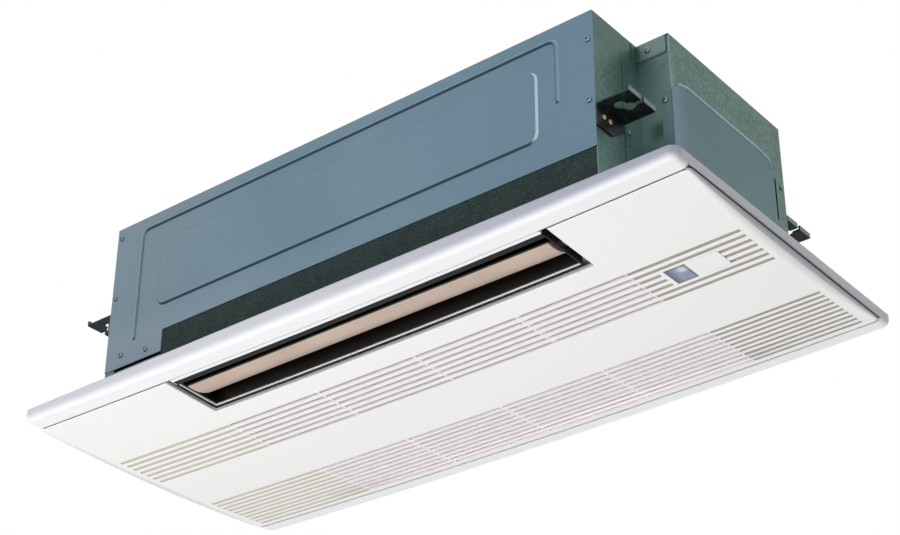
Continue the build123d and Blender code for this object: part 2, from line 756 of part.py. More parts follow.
# ---------------------------------------------------------------- air filter on the board
FILTER_SEAT = 0.3
NET_THICKNESS = 0.8
filter_low = GRILLE_SKIN + FILTER_SEAT
filter_mid_x = (filter_left + filter_right) / 2
filter_mid_y = (filter_front + filter_rear) / 2
filter_length = filter_right - filter_left
filter_width = filter_rear - filter_front
FILTER_COLUMNS = 4
FILTER_ROWS = 3

with BuildPart() as filter_frame:
    with BuildSketch(Plane.XY.offset(-DOME_SPACE)):
        with Locations((filter_mid_x, filter_mid_y)):
            Rectangle(filter_length, filter_width)
            cell_x = (filter_length - FILTER_BAR) / FILTER_COLUMNS
            cell_y = (filter_width - FILTER_BAR) / FILTER_ROWS
            with GridLocations(cell_x, cell_y, FILTER_COLUMNS, FILTER_ROWS):
                Rectangle(cell_x - FILTER_BAR, cell_y - FILTER_BAR, mode=Mode.SUBTRACT)
    extrude(amount=DOME_SPACE + board_top)
    add(dome_solid(filter_low), mode=Mode.INTERSECT)
    add(dome_solid(filter_low + FILTER_THICKNESS), mode=Mode.SUBTRACT)
save(filter_frame.part, "filter_frame")

with BuildPart() as filter_net:
    with BuildSketch(Plane.XY.offset(-DOME_SPACE)):
        with Locations((filter_mid_x, filter_mid_y)):
            with GridLocations(cell_x, cell_y, FILTER_COLUMNS, FILTER_ROWS):
                Rectangle(cell_x - FILTER_BAR, cell_y - FILTER_BAR)
    extrude(amount=DOME_SPACE + board_top)
    add(dome_solid(filter_low + (FILTER_THICKNESS - NET_THICKNESS) / 2), mode=Mode.INTERSECT)
    add(dome_solid(filter_low + (FILTER_THICKNESS + NET_THICKNESS) / 2), mode=Mode.SUBTRACT)
save(filter_net.part, "filter_net")

# ---------------------------------------------------------------- latches at the front corners
latch_spots = [("left", LATCH_LEFT_X), ("right", LATCH_RIGHT_X)]
latch_floor = -PANEL_BASE - LATCH_BLOCK_HEIGHT

with BuildPart() as latch_housings:
    for side_name, x in latch_spots:
        block(
            x - LATCH_BLOCK_X / 2,
            x + LATCH_BLOCK_X / 2,
            LATCH_Y - LATCH_BLOCK_Y / 2,
            LATCH_Y + LATCH_BLOCK_Y / 2,
            latch_floor,
            -PANEL_BASE,
        )
        with Locations((x, LATCH_Y, latch_floor)):
            Cylinder(
                PLUNGER_RADIUS + FIT,
                2 * LATCH_BLOCK_HEIGHT - 2,
                mode=Mode.SUBTRACT,
            )
save(latch_housings.part, "latch_housings")

with BuildPart() as latch_strikers:
    for side_name, x in latch_spots:
        block(
            x - LATCH_BLOCK_X / 2,
            x + LATCH_BLOCK_X / 2,
            LATCH_Y - LATCH_BLOCK_Y / 2,
            LATCH_Y + LATCH_BLOCK_Y / 2,
            -DOME_SPACE,
            dome_height(x, LATCH_Y) + GRILLE_SKIN + STRIKER_HEIGHT,
        )
    add(dome_solid(GRILLE_SKIN + SEAT_GAP), mode=Mode.INTERSECT)
save(latch_strikers.part, "latch_strikers")

for side_name, x in latch_spots:
    plunger_foot = dome_height(x, LATCH_Y) + GRILLE_SKIN + STRIKER_HEIGHT + SEAT_GAP
    plunger_top = latch_floor + LATCH_BLOCK_HEIGHT - 1 - PLUNGER_TRAVEL - 1
    with BuildPart() as plunger:
        with BuildSketch(Plane.XY.offset(plunger_foot)):
            with Locations((x, LATCH_Y)):
                Circle(PLUNGER_RADIUS)
        extrude(amount=plunger_top - plunger_foot)
        chamfer(plunger.faces().sort_by(Axis.Z)[0].edges(), 0.6)
    save(plunger.part, "latch_plunger_" + side_name)

# ---------------------------------------------------------------- fan, shaft and motor
fan_left = OUTLET_CENTRE_X - FAN_LENGTH / 2
fan_right = OUTLET_CENTRE_X + FAN_LENGTH / 2
DUCT_SIDE_GAP = 8.0
duct_left = fan_left - DUCT_SIDE_GAP - DUCT_SIDE_THICKNESS
duct_right = fan_right + DUCT_SIDE_GAP
motor_left = duct_right + DUCT_SIDE_THICKNESS + 10
motor_right = motor_left + MOTOR_LENGTH

with BuildPart() as fan_wheel:
    blade_ring = FAN_RADIUS - BLADE_CHORD / 2 + 0.6
    with BuildSketch(Plane.YZ.offset(fan_left)):
        with Locations((FAN_Y, FAN_Z)):
            with PolarLocations(blade_ring, BLADE_COUNT):
                Rectangle(BLADE_CHORD, BLADE_THICKNESS, rotation=35)
    extrude(amount=FAN_LENGTH)
    disc_pitch = (FAN_LENGTH - FAN_DISC_THICKNESS) / (FAN_DISC_COUNT - 1)
    ring_planes = [Plane.YZ.offset(fan_left + disc_pitch * i) for i in range(1, FAN_DISC_COUNT - 1)]
    with BuildSketch(*ring_planes):
        with Locations((FAN_Y, FAN_Z)):
            Circle(FAN_RADIUS)
            Circle(FAN_RADIUS - BLADE_CHORD - 2, mode=Mode.SUBTRACT)
    extrude(amount=FAN_DISC_THICKNESS)
    with BuildSketch(Plane.YZ.offset(fan_left), Plane.YZ.offset(fan_right - FAN_DISC_THICKNESS)):
        with Locations((FAN_Y, FAN_Z)):
            Circle(FAN_RADIUS)
    extrude(amount=FAN_DISC_THICKNESS)
    HUB_LENGTH = 14.0
    with BuildSketch(Plane.YZ.offset(fan_left), Plane.YZ.offset(fan_right - HUB_LENGTH)):
        with Locations((FAN_Y, FAN_Z)):
            Circle(3 * SHAFT_RADIUS)
    extrude(amount=HUB_LENGTH)
    with BuildSketch(Plane.YZ.offset(fan_left)):
        with Locations((FAN_Y, FAN_Z)):
            Circle(SHAFT_RADIUS + SHAFT_CLEARANCE)
    extrude(amount=FAN_LENGTH, mode=Mode.SUBTRACT)
save(fan_wheel.part, "fan_wheel")

shaft_left = duct_left - 3
shaft_right = motor_right - 8
with BuildPart() as fan_shaft:
    with BuildSketch(Plane.YZ.offset(shaft_left)):
        with Locations((FAN_Y, FAN_Z)):
            Circle(SHAFT_RADIUS)
    extrude(amount=shaft_right - shaft_left)
save(fan_shaft.part, "fan_shaft")

with BuildPart() as fan_motor:
    with BuildSketch(Plane.YZ.offset(motor_left)):
        with Locations((FAN_Y, FAN_Z)):
            Circle(MOTOR_RADIUS)
    extrude(amount=MOTOR_LENGTH)
    fillet(fan_motor.faces().sort_by(Axis.X)[0].edges(), 5)
    with BuildSketch(Plane.YZ.offset(motor_left - MOTOR_BOSS)):
        with Locations((FAN_Y, FAN_Z)):
            Circle(3 * SHAFT_RADIUS)
    extrude(amount=MOTOR_BOSS)
    with BuildSketch(Plane.YZ.offset(motor_left - MOTOR_BOSS)):
        with Locations((FAN_Y, FAN_Z)):
            Circle(SHAFT_RADIUS + SHAFT_CLEARANCE)
    extrude(amount=MOTOR_BOSS + MOTOR_LENGTH - 6, mode=Mode.SUBTRACT)
save(fan_motor.part, "fan_motor")

CUP_WALL = 2.0
CUP_DEPTH = 16.0
CUP_FLANGE = 14.0
with BuildPart() as motor_bracket:
    with BuildSketch(Plane.YZ.offset(motor_right - CUP_DEPTH)):
        with Locations((FAN_Y, FAN_Z)):
            Circle(MOTOR_RADIUS + SEAT_GAP + CUP_WALL)
            Circle(MOTOR_RADIUS + SEAT_GAP, mode=Mode.SUBTRACT)
    extrude(amount=body_right - SHEET - motor_right + CUP_DEPTH)
    with BuildSketch(Plane.YZ.offset(body_right - SHEET - CUP_WALL)):
        with Locations((FAN_Y, FAN_Z)):
            Circle(MOTOR_RADIUS + CUP_FLANGE)
            Circle(MOTOR_RADIUS, mode=Mode.SUBTRACT)
    extrude(amount=CUP_WALL)
save(motor_bracket.part, "motor_bracket")

with BuildPart() as shaft_bearing:
    with BuildSketch(Plane.YZ.offset(duct_left)):
        with Locations((FAN_Y, FAN_Z)):
            Circle(BEARING_RADIUS)
            Circle(SHAFT_RADIUS + SHAFT_CLEARANCE, mode=Mode.SUBTRACT)
    extrude(amount=DUCT_SIDE_THICKNESS)
save(shaft_bearing.part, "shaft_bearing")

with BuildPart() as bearing_cushion:
    with BuildSketch(Plane.YZ.offset(duct_left)):
        with Locations((FAN_Y, FAN_Z)):
            Circle(CUSHION_RADIUS)
            Circle(BEARING_RADIUS + FIT, mode=Mode.SUBTRACT)
    extrude(amount=DUCT_SIDE_THICKNESS)
save(bearing_cushion.part, "bearing_cushion")

# ---------------------------------------------------------------- air duct round the fan
DUCT_BOTTOM = 1.0
SCROLL_TIP_ANGLE = 45.0
SCROLL_STEPS = 10
foam_back = body_front + SHEET + INSULATION_THICKNESS
scroll_front = foam_back + DUCT_WALL
scroll_tip_radius = FAN_RADIUS + FAN_TIP_GAP
scroll_front_radius = FAN_Y - scroll_front
scroll_growth = (scroll_front_radius - scroll_tip_radius) / (180 - SCROLL_TIP_ANGLE)


def scroll_point(step, wall):
    """A point of the scroll, counted from the front (0) to the tip."""
    angle = 180 - (180 - SCROLL_TIP_ANGLE) * step / SCROLL_STEPS
    radius = scroll_tip_radius + scroll_growth * (angle - SCROLL_TIP_ANGLE) + wall
    return (FAN_Y + radius * cos(radians(angle)), FAN_Z + radius * sin(radians(angle)))


scroll_inner = [scroll_point(i, 0) for i in range(SCROLL_STEPS + 1)]
scroll_outer = [scroll_point(i, DUCT_WALL) for i in range(SCROLL_STEPS, -1, -1)]
with BuildPart() as scroll_guide:
    with BuildSketch(Plane.YZ.offset(duct_left + DUCT_SIDE_THICKNESS)):
        with BuildLine():
            Line((scroll_front, DUCT_BOTTOM), (scroll_front, FAN_Z))
            Spline(*scroll_inner)
            Line(scroll_inner[-1], scroll_outer[0])
            Spline(*scroll_outer)
            Line((foam_back, FAN_Z), (foam_back, DUCT_BOTTOM))
            Line((foam_back, DUCT_BOTTOM), (scroll_front, DUCT_BOTTOM))
        make_face()
    extrude(amount=duct_right - duct_left - DUCT_SIDE_THICKNESS)
save(scroll_guide.part, "scroll_guide")

STABILISER_ANGLE = -65.0
STABILISER_KNEE = 25.0
knee_y = OUTLET_REAR - LINER_WALL
lip_radius = FAN_RADIUS + FAN_TIP_GAP + DUCT_WALL / 2
lip_y = FAN_Y + lip_radius * cos(radians(STABILISER_ANGLE))
lip_z = FAN_Z + lip_radius * sin(radians(STABILISER_ANGLE))
with BuildPart() as stabiliser:
    with BuildSketch(Plane.YZ.offset(duct_left + DUCT_SIDE_THICKNESS)):
        with BuildLine():
            Polyline(
                (knee_y, DUCT_BOTTOM),
                (knee_y, STABILISER_KNEE),
                (lip_y, lip_z),
                (lip_y + DUCT_WALL, lip_z - DUCT_WALL / 2),
                (knee_y + DUCT_WALL, STABILISER_KNEE - DUCT_WALL / 2),
                (knee_y + DUCT_WALL, DUCT_BOTTOM),
                close=True,
            )
        make_face()
    extrude(amount=duct_right - duct_left - DUCT_SIDE_THICKNESS)
save(stabiliser.part, "stabiliser")

duct_back = FAN_Y + scroll_tip_radius
duct_top = FAN_Z + FAN_RADIUS + FAN_TIP_GAP + scroll_growth * (90 - SCROLL_TIP_ANGLE) + DUCT_WALL
for side_name, x, hole_radius in [
    ("left", duct_left, CUSHION_RADIUS + FIT),
    ("right", duct_right, 4 * SHAFT_RADIUS),
]:
    with BuildPart() as duct_side:
        with BuildSketch(Plane.YZ.offset(x)):
            with BuildLine():
                Polyline(
                    (foam_back, DUCT_BOTTOM),
                    (foam_back, duct_top),
                    (duct_back, duct_top),
                    (duct_back, FAN_Z - FAN_RADIUS),
                    (knee_y + DUCT_WALL, DUCT_BOTTOM),
                    close=True,
                )
            make_face()
            with Locations((FAN_Y, FAN_Z)):
                Circle(hole_radius, mode=Mode.SUBTRACT)
        extrude(amount=DUCT_SIDE_THICKNESS)
    save(duct_side.part, "duct_side_" + side_name)

# ---------------------------------------------------------------- heat exchanger
coil_turn = radians(COIL_ANGLE)


def coil_plane(x):
    """A plane square to X whose own X runs up the slope of the coil."""
    return Plane(
        origin=(x, COIL_CENTRE_Y, COIL_CENTRE_Z),
        x_dir=(0, cos(coil_turn), sin(coil_turn)),
        z_dir=(1, 0, 0),
    )


def tube_spot(row, number):
    """Place of one tube in the coil's own plane, counted from the top."""
    stagger = TUBE_PITCH / 4 if row == 0 else -TUBE_PITCH / 4
    along = TUBE_PITCH * (TUBES_PER_ROW - 1) / 2 - TUBE_PITCH * number + stagger
    return (along, ROW_PITCH * (row - (TUBE_ROWS - 1) / 2))


tube_spots = [tube_spot(row, n) for row in range(TUBE_ROWS) for n in range(TUBES_PER_ROW)]
fin_count = int((COIL_RIGHT - COIL_LEFT) // FIN_PITCH)
fin_start = (COIL_LEFT + COIL_RIGHT) / 2 - FIN_PITCH * (fin_count - 1) / 2
fin_planes = [coil_plane(fin_start + FIN_PITCH * i) for i in range(fin_count)]
with BuildPart() as coil_fins:
    with BuildSketch(*fin_planes):
        Rectangle(COIL_LENGTH, COIL_THICKNESS)
        with Locations(*tube_spots):
            Circle(TUBE_RADIUS + TUBE_CLEARANCE, mode=Mode.SUBTRACT)
    extrude(amount=FIN_THICKNESS)
save(coil_fins.part, "coil_fins")

COIL_PLATE_GAP = 2.0
COIL_PLATE_MARGIN = 4.0
plate_left = COIL_LEFT - COIL_PLATE_GAP - SHEET
plate_right = COIL_RIGHT + COIL_PLATE_GAP
tab_y = COIL_CENTRE_Y + COIL_LENGTH / 2 * cos(coil_turn) - 20
TAB_WIDTH = 40.0
with BuildPart() as coil_end_plates:
    with BuildSketch(coil_plane(plate_left), coil_plane(plate_right)):
        Rectangle(COIL_LENGTH + COIL_PLATE_MARGIN, COIL_THICKNESS + COIL_PLATE_MARGIN)
    extrude(amount=SHEET)
    # a tab up to the top plate carries each end
    with BuildSketch(Plane.YZ.offset(plate_left), Plane.YZ.offset(plate_right)):
        with Locations((tab_y, (COIL_CENTRE_Z + BODY_HEIGHT - SHEET) / 2)):
            Rectangle(TAB_WIDTH, BODY_HEIGHT - SHEET - COIL_CENTRE_Z)
    extrude(amount=SHEET)
    with BuildSketch(coil_plane(plate_left), coil_plane(plate_right)):
        with Locations(*tube_spots):
            Circle(TUBE_RADIUS + TUBE_CLEARANCE)
    extrude(amount=SHEET, mode=Mode.SUBTRACT)
save(coil_end_plates.part, "coil_end_plates")

BEND_STRAIGHT = 3.0
tubes_left = plate_left - BEND_STRAIGHT
tubes_right = plate_right + SHEET + BEND_STRAIGHT
TUBE_WALL = 1.0


def tube_bend(x, spot_a, spot_b, turn):
    """Half a turn of tube between two spots of the coil, on the plane at x."""
    middle = ((spot_a[0] + spot_b[0]) / 2, (spot_a[1] + spot_b[1]) / 2)
    across = (spot_b[0] - spot_a[0], spot_b[1] - spot_a[1])
    plane = coil_plane(x)
    origin = plane.from_local_coords((middle[0], middle[1], 0))
    tip = plane.from_local_coords((middle[0] - across[1], middle[1] + across[0], 0))
    with BuildSketch(plane) as ring:
        with Locations(spot_a):
            Circle(TUBE_RADIUS)
            Circle(TUBE_RADIUS - TUBE_WALL, mode=Mode.SUBTRACT)
    revolve(ring.sketch, axis=Axis(origin, (tip - origin) * turn), revolution_arc=180)


with BuildPart() as coil_tubes:
    with BuildSketch(coil_plane(tubes_left)):
        with Locations(*tube_spots):
            Circle(TUBE_RADIUS)
            Circle(TUBE_RADIUS - TUBE_WALL, mode=Mode.SUBTRACT)
    extrude(amount=tubes_right - tubes_left)
    for row in range(TUBE_ROWS):
        for n in range(0, TUBES_PER_ROW - 1, 2):
            tube_bend(tubes_right, tube_spot(row, n), tube_spot(row, n + 1), 1)
        for n in range(1, TUBES_PER_ROW - 1, 2):
            tube_bend(tubes_left, tube_spot(row, n), tube_spot(row, n + 1), -1)
    tube_bend(tubes_left, tube_spot(0, TUBES_PER_ROW - 1), tube_spot(1, TUBES_PER_ROW - 1), -1)
save(coil_tubes.part, "coil_tubes")


# ---------------------------------------------------------------- refrigerant pipes
def coil_point(x, spot):
    """World place of a spot of the coil at a given x."""
    return coil_plane(x).from_local_coords((spot[0], spot[1], 0))


gas_start = coil_point(tubes_left, tube_spot(1, 0))
liquid_start = coil_point(tubes_left, tube_spot(0, 0))
pipe_end = body_left - PIPE_REACH
GAS_TURN_X = -326.0
LIQUID_TURN_X = -312.0
GAS_BEND = 15.0
LIQUID_BEND = 9.0
VALVE_RADIUS = 9.0
VALVE_LEFT = -366.0
VALVE_RIGHT = -340.0
SOCKET_DEPTH = 6.0
ADAPTER = 4.0

with BuildPart() as gas_pipe:
    with BuildLine() as gas_route:
        FilletPolyline(
            (gas_start.X - ADAPTER, gas_start.Y, gas_start.Z),
            (GAS_TURN_X, gas_start.Y, gas_start.Z),
            (GAS_TURN_X, GAS_EXIT_Y, GAS_EXIT_Z),
            (pipe_end, GAS_EXIT_Y, GAS_EXIT_Z),
            radius=GAS_BEND,
        )
    with BuildSketch(Plane(origin=gas_route.line @ 0, z_dir=gas_route.line % 0)):
        Circle(GAS_PIPE_RADIUS)
    sweep()
    # the pipe steps down to the coil tube
    with BuildSketch(Plane.YZ.offset(gas_start.X - ADAPTER)):
        with Locations((gas_start.Y, gas_start.Z)):
            Circle(GAS_PIPE_RADIUS)
    extrude(amount=ADAPTER)
save(gas_pipe.part, "gas_pipe")

with BuildPart() as liquid_pipe:
    with BuildLine() as liquid_route:
        FilletPolyline(
            (liquid_start.X, liquid_start.Y, liquid_start.Z),
            (LIQUID_TURN_X, liquid_start.Y, liquid_start.Z),
            (LIQUID_TURN_X, LIQUID_EXIT_Y, LIQUID_EXIT_Z),
            (VALVE_RIGHT - SOCKET_DEPTH, LIQUID_EXIT_Y, LIQUID_EXIT_Z),
            radius=LIQUID_BEND,
        )
    with BuildSketch(Plane(origin=liquid_route.line @ 0, z_dir=liquid_route.line % 0)):
        Circle(LIQUID_PIPE_RADIUS)
    sweep()
    # beyond the valve the pipe runs straight out of the casing
    with BuildSketch(Plane.YZ.offset(pipe_end)):
        with Locations((LIQUID_EXIT_Y, LIQUID_EXIT_Z)):
            Circle(LIQUID_PIPE_RADIUS)
    extrude(amount=VALVE_LEFT + SOCKET_DEPTH - pipe_end)
save(liquid_pipe.part, "liquid_pipe")

VALVE_COIL_RADIUS = 16.0
VALVE_COIL_HEIGHT = 24.0
with BuildPart() as expansion_valve:
    with BuildSketch(Plane.YZ.offset(VALVE_LEFT)):
        with Locations((LIQUID_EXIT_Y, LIQUID_EXIT_Z)):
            Circle(VALVE_RADIUS)
            Circle(LIQUID_PIPE_RADIUS + FIT, mode=Mode.SUBTRACT)
    extrude(amount=SOCKET_DEPTH)
    with BuildSketch(Plane.YZ.offset(VALVE_LEFT + SOCKET_DEPTH)):
        with Locations((LIQUID_EXIT_Y, LIQUID_EXIT_Z)):
            Circle(VALVE_RADIUS)
    extrude(amount=VALVE_RIGHT - VALVE_LEFT - 2 * SOCKET_DEPTH)
    with BuildSketch(Plane.YZ.offset(VALVE_RIGHT - SOCKET_DEPTH)):
        with Locations((LIQUID_EXIT_Y, LIQUID_EXIT_Z)):
            Circle(VALVE_RADIUS)
            Circle(LIQUID_PIPE_RADIUS + FIT, mode=Mode.SUBTRACT)
    extrude(amount=SOCKET_DEPTH)
    valve_mid = (VALVE_LEFT + VALVE_RIGHT) / 2
    with BuildSketch(Plane.XY.offset(LIQUID_EXIT_Z + VALVE_RADIUS - 1)):
        with Locations((valve_mid, LIQUID_EXIT_Y)):
            Circle(VALVE_COIL_RADIUS)
    extrude(amount=VALVE_COIL_HEIGHT)
save(expansion_valve.part, "expansion_valve")

with BuildPart() as flare_nuts:
    for y, z, radius in [
        (GAS_EXIT_Y, GAS_EXIT_Z, GAS_PIPE_RADIUS),
        (LIQUID_EXIT_Y, LIQUID_EXIT_Z, LIQUID_PIPE_RADIUS),
    ]:
        with BuildSketch(Plane.YZ.offset(pipe_end)):
            with Locations((y, z)):
                RegularPolygon(2 * radius + 3, 6)
                Circle(radius + FIT, mode=Mode.SUBTRACT)
        extrude(amount=2 * radius + 6)
save(flare_nuts.part, "flare_nuts")

# ---------------------------------------------------------------- drain
pan_left = body_left + SHEET + 1
pan_right = body_right - SHEET - 1
pan_mid_x = (pan_left + pan_right) / 2
PAN_FLOOR = 4.0
PAN_FOOT = 14.0
with BuildPart() as drain_pan:
    block(pan_left, pan_right, PAN_FRONT, PAN_REAR, PAN_BOTTOM, PAN_TOP)
    block(
        pan_left + PAN_WALL,
        pan_right - PAN_WALL,
        PAN_FRONT + PAN_WALL,
        PAN_REAR - PAN_WALL,
        PAN_BOTTOM + PAN_FLOOR,
        PAN_TOP + 1,
        mode=Mode.SUBTRACT,
    )
    # feet on the bottom flanges of the casing
    block(pan_left, pan_left + PAN_FOOT, PAN_FRONT, PAN_REAR, SHEET, PAN_BOTTOM)
    block(pan_right - PAN_FOOT, pan_right, PAN_FRONT, PAN_REAR, SHEET, PAN_BOTTOM)
save(drain_pan.part, "drain_pan")

PUMP_FOOT = 16.0
PUMP_CHAMBER = 22.0
PUMP_TOP = 100.0
PUMP_SHAFT_RADIUS = 2.0
PUMP_NOZZLE_Z = 54.0
NOZZLE_LENGTH = 12.0
with BuildPart() as drain_pump:
    with BuildSketch(Plane.XY.offset(PUMP_FOOT)):
        with Locations((PUMP_X, PUMP_Y)):
            Circle(PUMP_RADIUS)
            Circle(PUMP_RADIUS - 3, mode=Mode.SUBTRACT)
    extrude(amount=PUMP_CHAMBER)
    with BuildSketch(Plane.XY.offset(PUMP_FOOT + PUMP_CHAMBER)):
        with Locations((PUMP_X, PUMP_Y)):
            Circle(PUMP_RADIUS)
            Circle(PUMP_SHAFT_RADIUS + SHAFT_CLEARANCE, mode=Mode.SUBTRACT)
    extrude(amount=PUMP_TOP - PUMP_FOOT - PUMP_CHAMBER - 10)
    with BuildSketch(Plane.XY.offset(PUMP_TOP - 10)):
        with Locations((PUMP_X, PUMP_Y)):
            Circle(PUMP_RADIUS)
    extrude(amount=10)
    with BuildSketch(Plane.XZ.offset(-PUMP_Y)):
        with Locations((PUMP_X, PUMP_NOZZLE_Z)):
            Circle(NOZZLE_RADIUS)
    extrude(amount=-PUMP_RADIUS - NOZZLE_LENGTH)
    with BuildSketch(Plane.XY.offset(PUMP_FOOT + PUMP_CHAMBER)):
        with Locations((PUMP_X, PUMP_Y)):
            Circle(PUMP_SHAFT_RADIUS + SHAFT_CLEARANCE)
    extrude(amount=PUMP_TOP - PUMP_FOOT - PUMP_CHAMBER - 10, mode=Mode.SUBTRACT)
save(drain_pump.part, "drain_pump")

IMPELLER_RADIUS = 13.0
IMPELLER_BLADES = 4
with BuildPart() as pump_impeller:
    with BuildSketch(Plane.XY.offset(PUMP_FOOT + 3)):
        with Locations((PUMP_X, PUMP_Y)):
            Circle(PUMP_SHAFT_RADIUS)
    extrude(amount=PUMP_TOP - PUMP_FOOT - 3 - 14)
    with BuildSketch(Plane.XY.offset(PUMP_FOOT + 3)):
        with Locations((PUMP_X, PUMP_Y)):
            Circle(PUMP_SHAFT_RADIUS + 2)
            with PolarLocations(IMPELLER_RADIUS / 2, IMPELLER_BLADES):
                Rectangle(IMPELLER_RADIUS, 1.6)
    extrude(amount=PUMP_CHAMBER - 8)
save(pump_impeller.part, "pump_impeller")

SWITCH_X = PUMP_X + 30
SWITCH_Y = PUMP_Y - 8
STEM_RADIUS = 3.0
FLOAT_RADIUS = 9.0
FLOAT_HEIGHT = 12.0
FLOAT_TRAVEL = 10.0
FLOAT_REST = 24.0
BRACKET_SHEET = 1.5
with BuildPart() as float_switch:
    with BuildSketch(Plane.XY.offset(FLOAT_REST - 4)):
        with Locations((SWITCH_X, SWITCH_Y)):
            Circle(STEM_RADIUS)
    extrude(amount=PUMP_TOP - FLOAT_REST + 4)
    with BuildSketch(Plane.XY.offset(FLOAT_REST - 4)):
        with Locations((SWITCH_X, SWITCH_Y)):
            Circle(STEM_RADIUS + 3)
    extrude(amount=4 - SEAT_GAP)
save(float_switch.part, "float_switch")

with BuildPart() as switch_float:
    with BuildSketch(Plane.XY.offset(FLOAT_REST)):
        with Locations((SWITCH_X, SWITCH_Y)):
            Circle(FLOAT_RADIUS)
            Circle(STEM_RADIUS + FIT, mode=Mode.SUBTRACT)
    extrude(amount=FLOAT_HEIGHT)
save(switch_float.part, "switch_float")

with BuildPart() as pump_bracket:
    block(
        body_left + SHEET,
        SWITCH_X + FLOAT_RADIUS,
        PUMP_Y - PUMP_RADIUS,
        PUMP_Y + PUMP_RADIUS,
        PUMP_TOP,
        PUMP_TOP + BRACKET_SHEET,
    )
    block(
        body_left + SHEET,
        body_left + SHEET + BRACKET_SHEET,
        PUMP_Y - PUMP_RADIUS,
        PUMP_Y + PUMP_RADIUS,
        PUMP_TOP + BRACKET_SHEET,
        PUMP_TOP + 22,
    )
save(pump_bracket.part, "pump_bracket")

hose_start_y = PUMP_Y + PUMP_RADIUS + 2
hose_rise_y = PUMP_Y + PUMP_RADIUS + 26
HOSE_BEND = 12.0
SOCKET_RADIUS = 9.5
SOCKET_REACH = 30.0
with BuildPart() as drain_hose:
    with BuildLine() as hose_route:
        FilletPolyline(
            (PUMP_X, hose_start_y, PUMP_NOZZLE_Z),
            (PUMP_X, hose_rise_y, PUMP_NOZZLE_Z),
            (PUMP_X, hose_rise_y, DRAIN_EXIT_Z),
            (body_left + SHEET + 4, hose_rise_y, DRAIN_EXIT_Z),
            radius=HOSE_BEND,
        )
    with BuildSketch(Plane(origin=hose_route.line @ 0, z_dir=hose_route.line % 0)):
        Circle(HOSE_RADIUS)
        Circle(NOZZLE_RADIUS + FIT, mode=Mode.SUBTRACT)
    sweep()
save(drain_hose.part, "drain_hose")

with BuildPart() as drain_socket:
    with BuildSketch(Plane.YZ.offset(body_left - SOCKET_REACH)):
        with Locations((hose_rise_y, DRAIN_EXIT_Z)):
            Circle(SOCKET_RADIUS)
    extrude(amount=SOCKET_REACH + SHEET)
    with BuildSketch(Plane.YZ.offset(body_left - 3)):
        with Locations((hose_rise_y, DRAIN_EXIT_Z)):
            Circle(SOCKET_RADIUS + 5)
    extrude(amount=3)
    # a spigot inside the casing takes the hose
    with BuildSketch(Plane.YZ.offset(body_left + SHEET)):
        with Locations((hose_rise_y, DRAIN_EXIT_Z)):
            Circle(NOZZLE_RADIUS)
    extrude(amount=12)
    with BuildSketch(Plane.YZ.offset(body_left - SOCKET_REACH)):
        with Locations((hose_rise_y, DRAIN_EXIT_Z)):
            Circle(SOCKET_RADIUS - 2.5)
    extrude(amount=SOCKET_REACH - 4, mode=Mode.SUBTRACT)
    with BuildSketch(Plane.YZ.offset(body_left - SOCKET_REACH)):
        with Locations((hose_rise_y, DRAIN_EXIT_Z)):
            Circle(NOZZLE_RADIUS - 1.5)
    extrude(amount=SOCKET_REACH + 20, mode=Mode.SUBTRACT)
save(drain_socket.part, "drain_socket")

# ---------------------------------------------------------------- places of the casing screws
def facing(x, y, z, direction):
    """A plane at a screw's seat, looking out of the sheet."""
    return Plane(origin=(x, y, z), z_dir=direction)


front_screws = [
    facing(x, body_front, z, (0, -1, 0))
    for x, z in [
        (body_left + 7, BODY_HEIGHT - 15),
        (body_left + 6, BODY_HEIGHT - 107),
        (body_left + 27, FRONT_LOW_EDGE + 18),
        (body_left + 73, FRONT_LOW_EDGE + 12),
        (body_right - 7, BODY_HEIGHT - 39),
        (body_right - 8, BODY_HEIGHT - 122),
    ]
]
rear_screws = [
    facing(x, body_rear, z, (0, 1, 0))
    for x in (body_left + 8, body_right - 8)
    for z in (40, BODY_HEIGHT - 40)
]
flange_screws = [
    facing(body_right + SHEET, STEP_FRONT - 26, BRACKET_LEVEL - 4, (1, 0, 0)),
    facing(body_right + SHEET, STEP_REAR + 24, 60, (1, 0, 0)),
    facing(body_right + SHEET, STEP_REAR + 24, BODY_HEIGHT - 55, (1, 0, 0)),
]
COVER_LIP_TOP = 173.0
FLAP_SCREW_X = body_right + 15
COVER_SCREW_X = step_end - 9
flap_screw = facing(FLAP_SCREW_X, STEP_FRONT - SHEET, BODY_HEIGHT - FLAP_HEIGHT / 2, (0, -1, 0))
cover_front_screw = facing(COVER_SCREW_X, STEP_FRONT - SHEET, COVER_LIP_TOP - 12, (0, -1, 0))
box_end_screw = facing(step_end, STEP_REAR - 7, COVER_LIP_TOP - 11, (1, 0, 0))
COVER_PROUD = 1.0
cover_end_screws = [
    facing(step_end + COVER_PROUD, STEP_FRONT + 10, 30, (1, 0, 0)),
    facing(step_end + COVER_PROUD, STEP_REAR - 34, 30, (1, 0, 0)),
]
all_screws = (
    front_screws
    + rear_screws
    + flange_screws
    + cover_end_screws
    + [flap_screw, cover_front_screw, box_end_screw]
)

with BuildPart() as casing_screws:
    with BuildSketch(*all_screws):
        Circle(SCREW_HEAD_RADIUS)
    extrude(amount=SCREW_HEAD_HEIGHT)
    with BuildSketch(*all_screws):
        Circle(SCREW_SHANK_RADIUS)
    extrude(amount=-SCREW_LENGTH)
save(casing_screws.part, "casing_screws")


BRACKET_SCREW_DROP = 12.0
bracket_screw_seats = []
for end_x, direction in ((body_left, -1), (body_right, 1)):
    for side_y in (-1, 1):
        seat_x = end_x + direction * BRACKET_THICKNESS
        for inset in (12, 24):
            bracket_screw_seats.append(
                facing(
                    seat_x,
                    side_y * (body_rear - inset),
                    BRACKET_LEVEL - BRACKET_SCREW_DROP,
                    (direction, 0, 0),
                )
            )


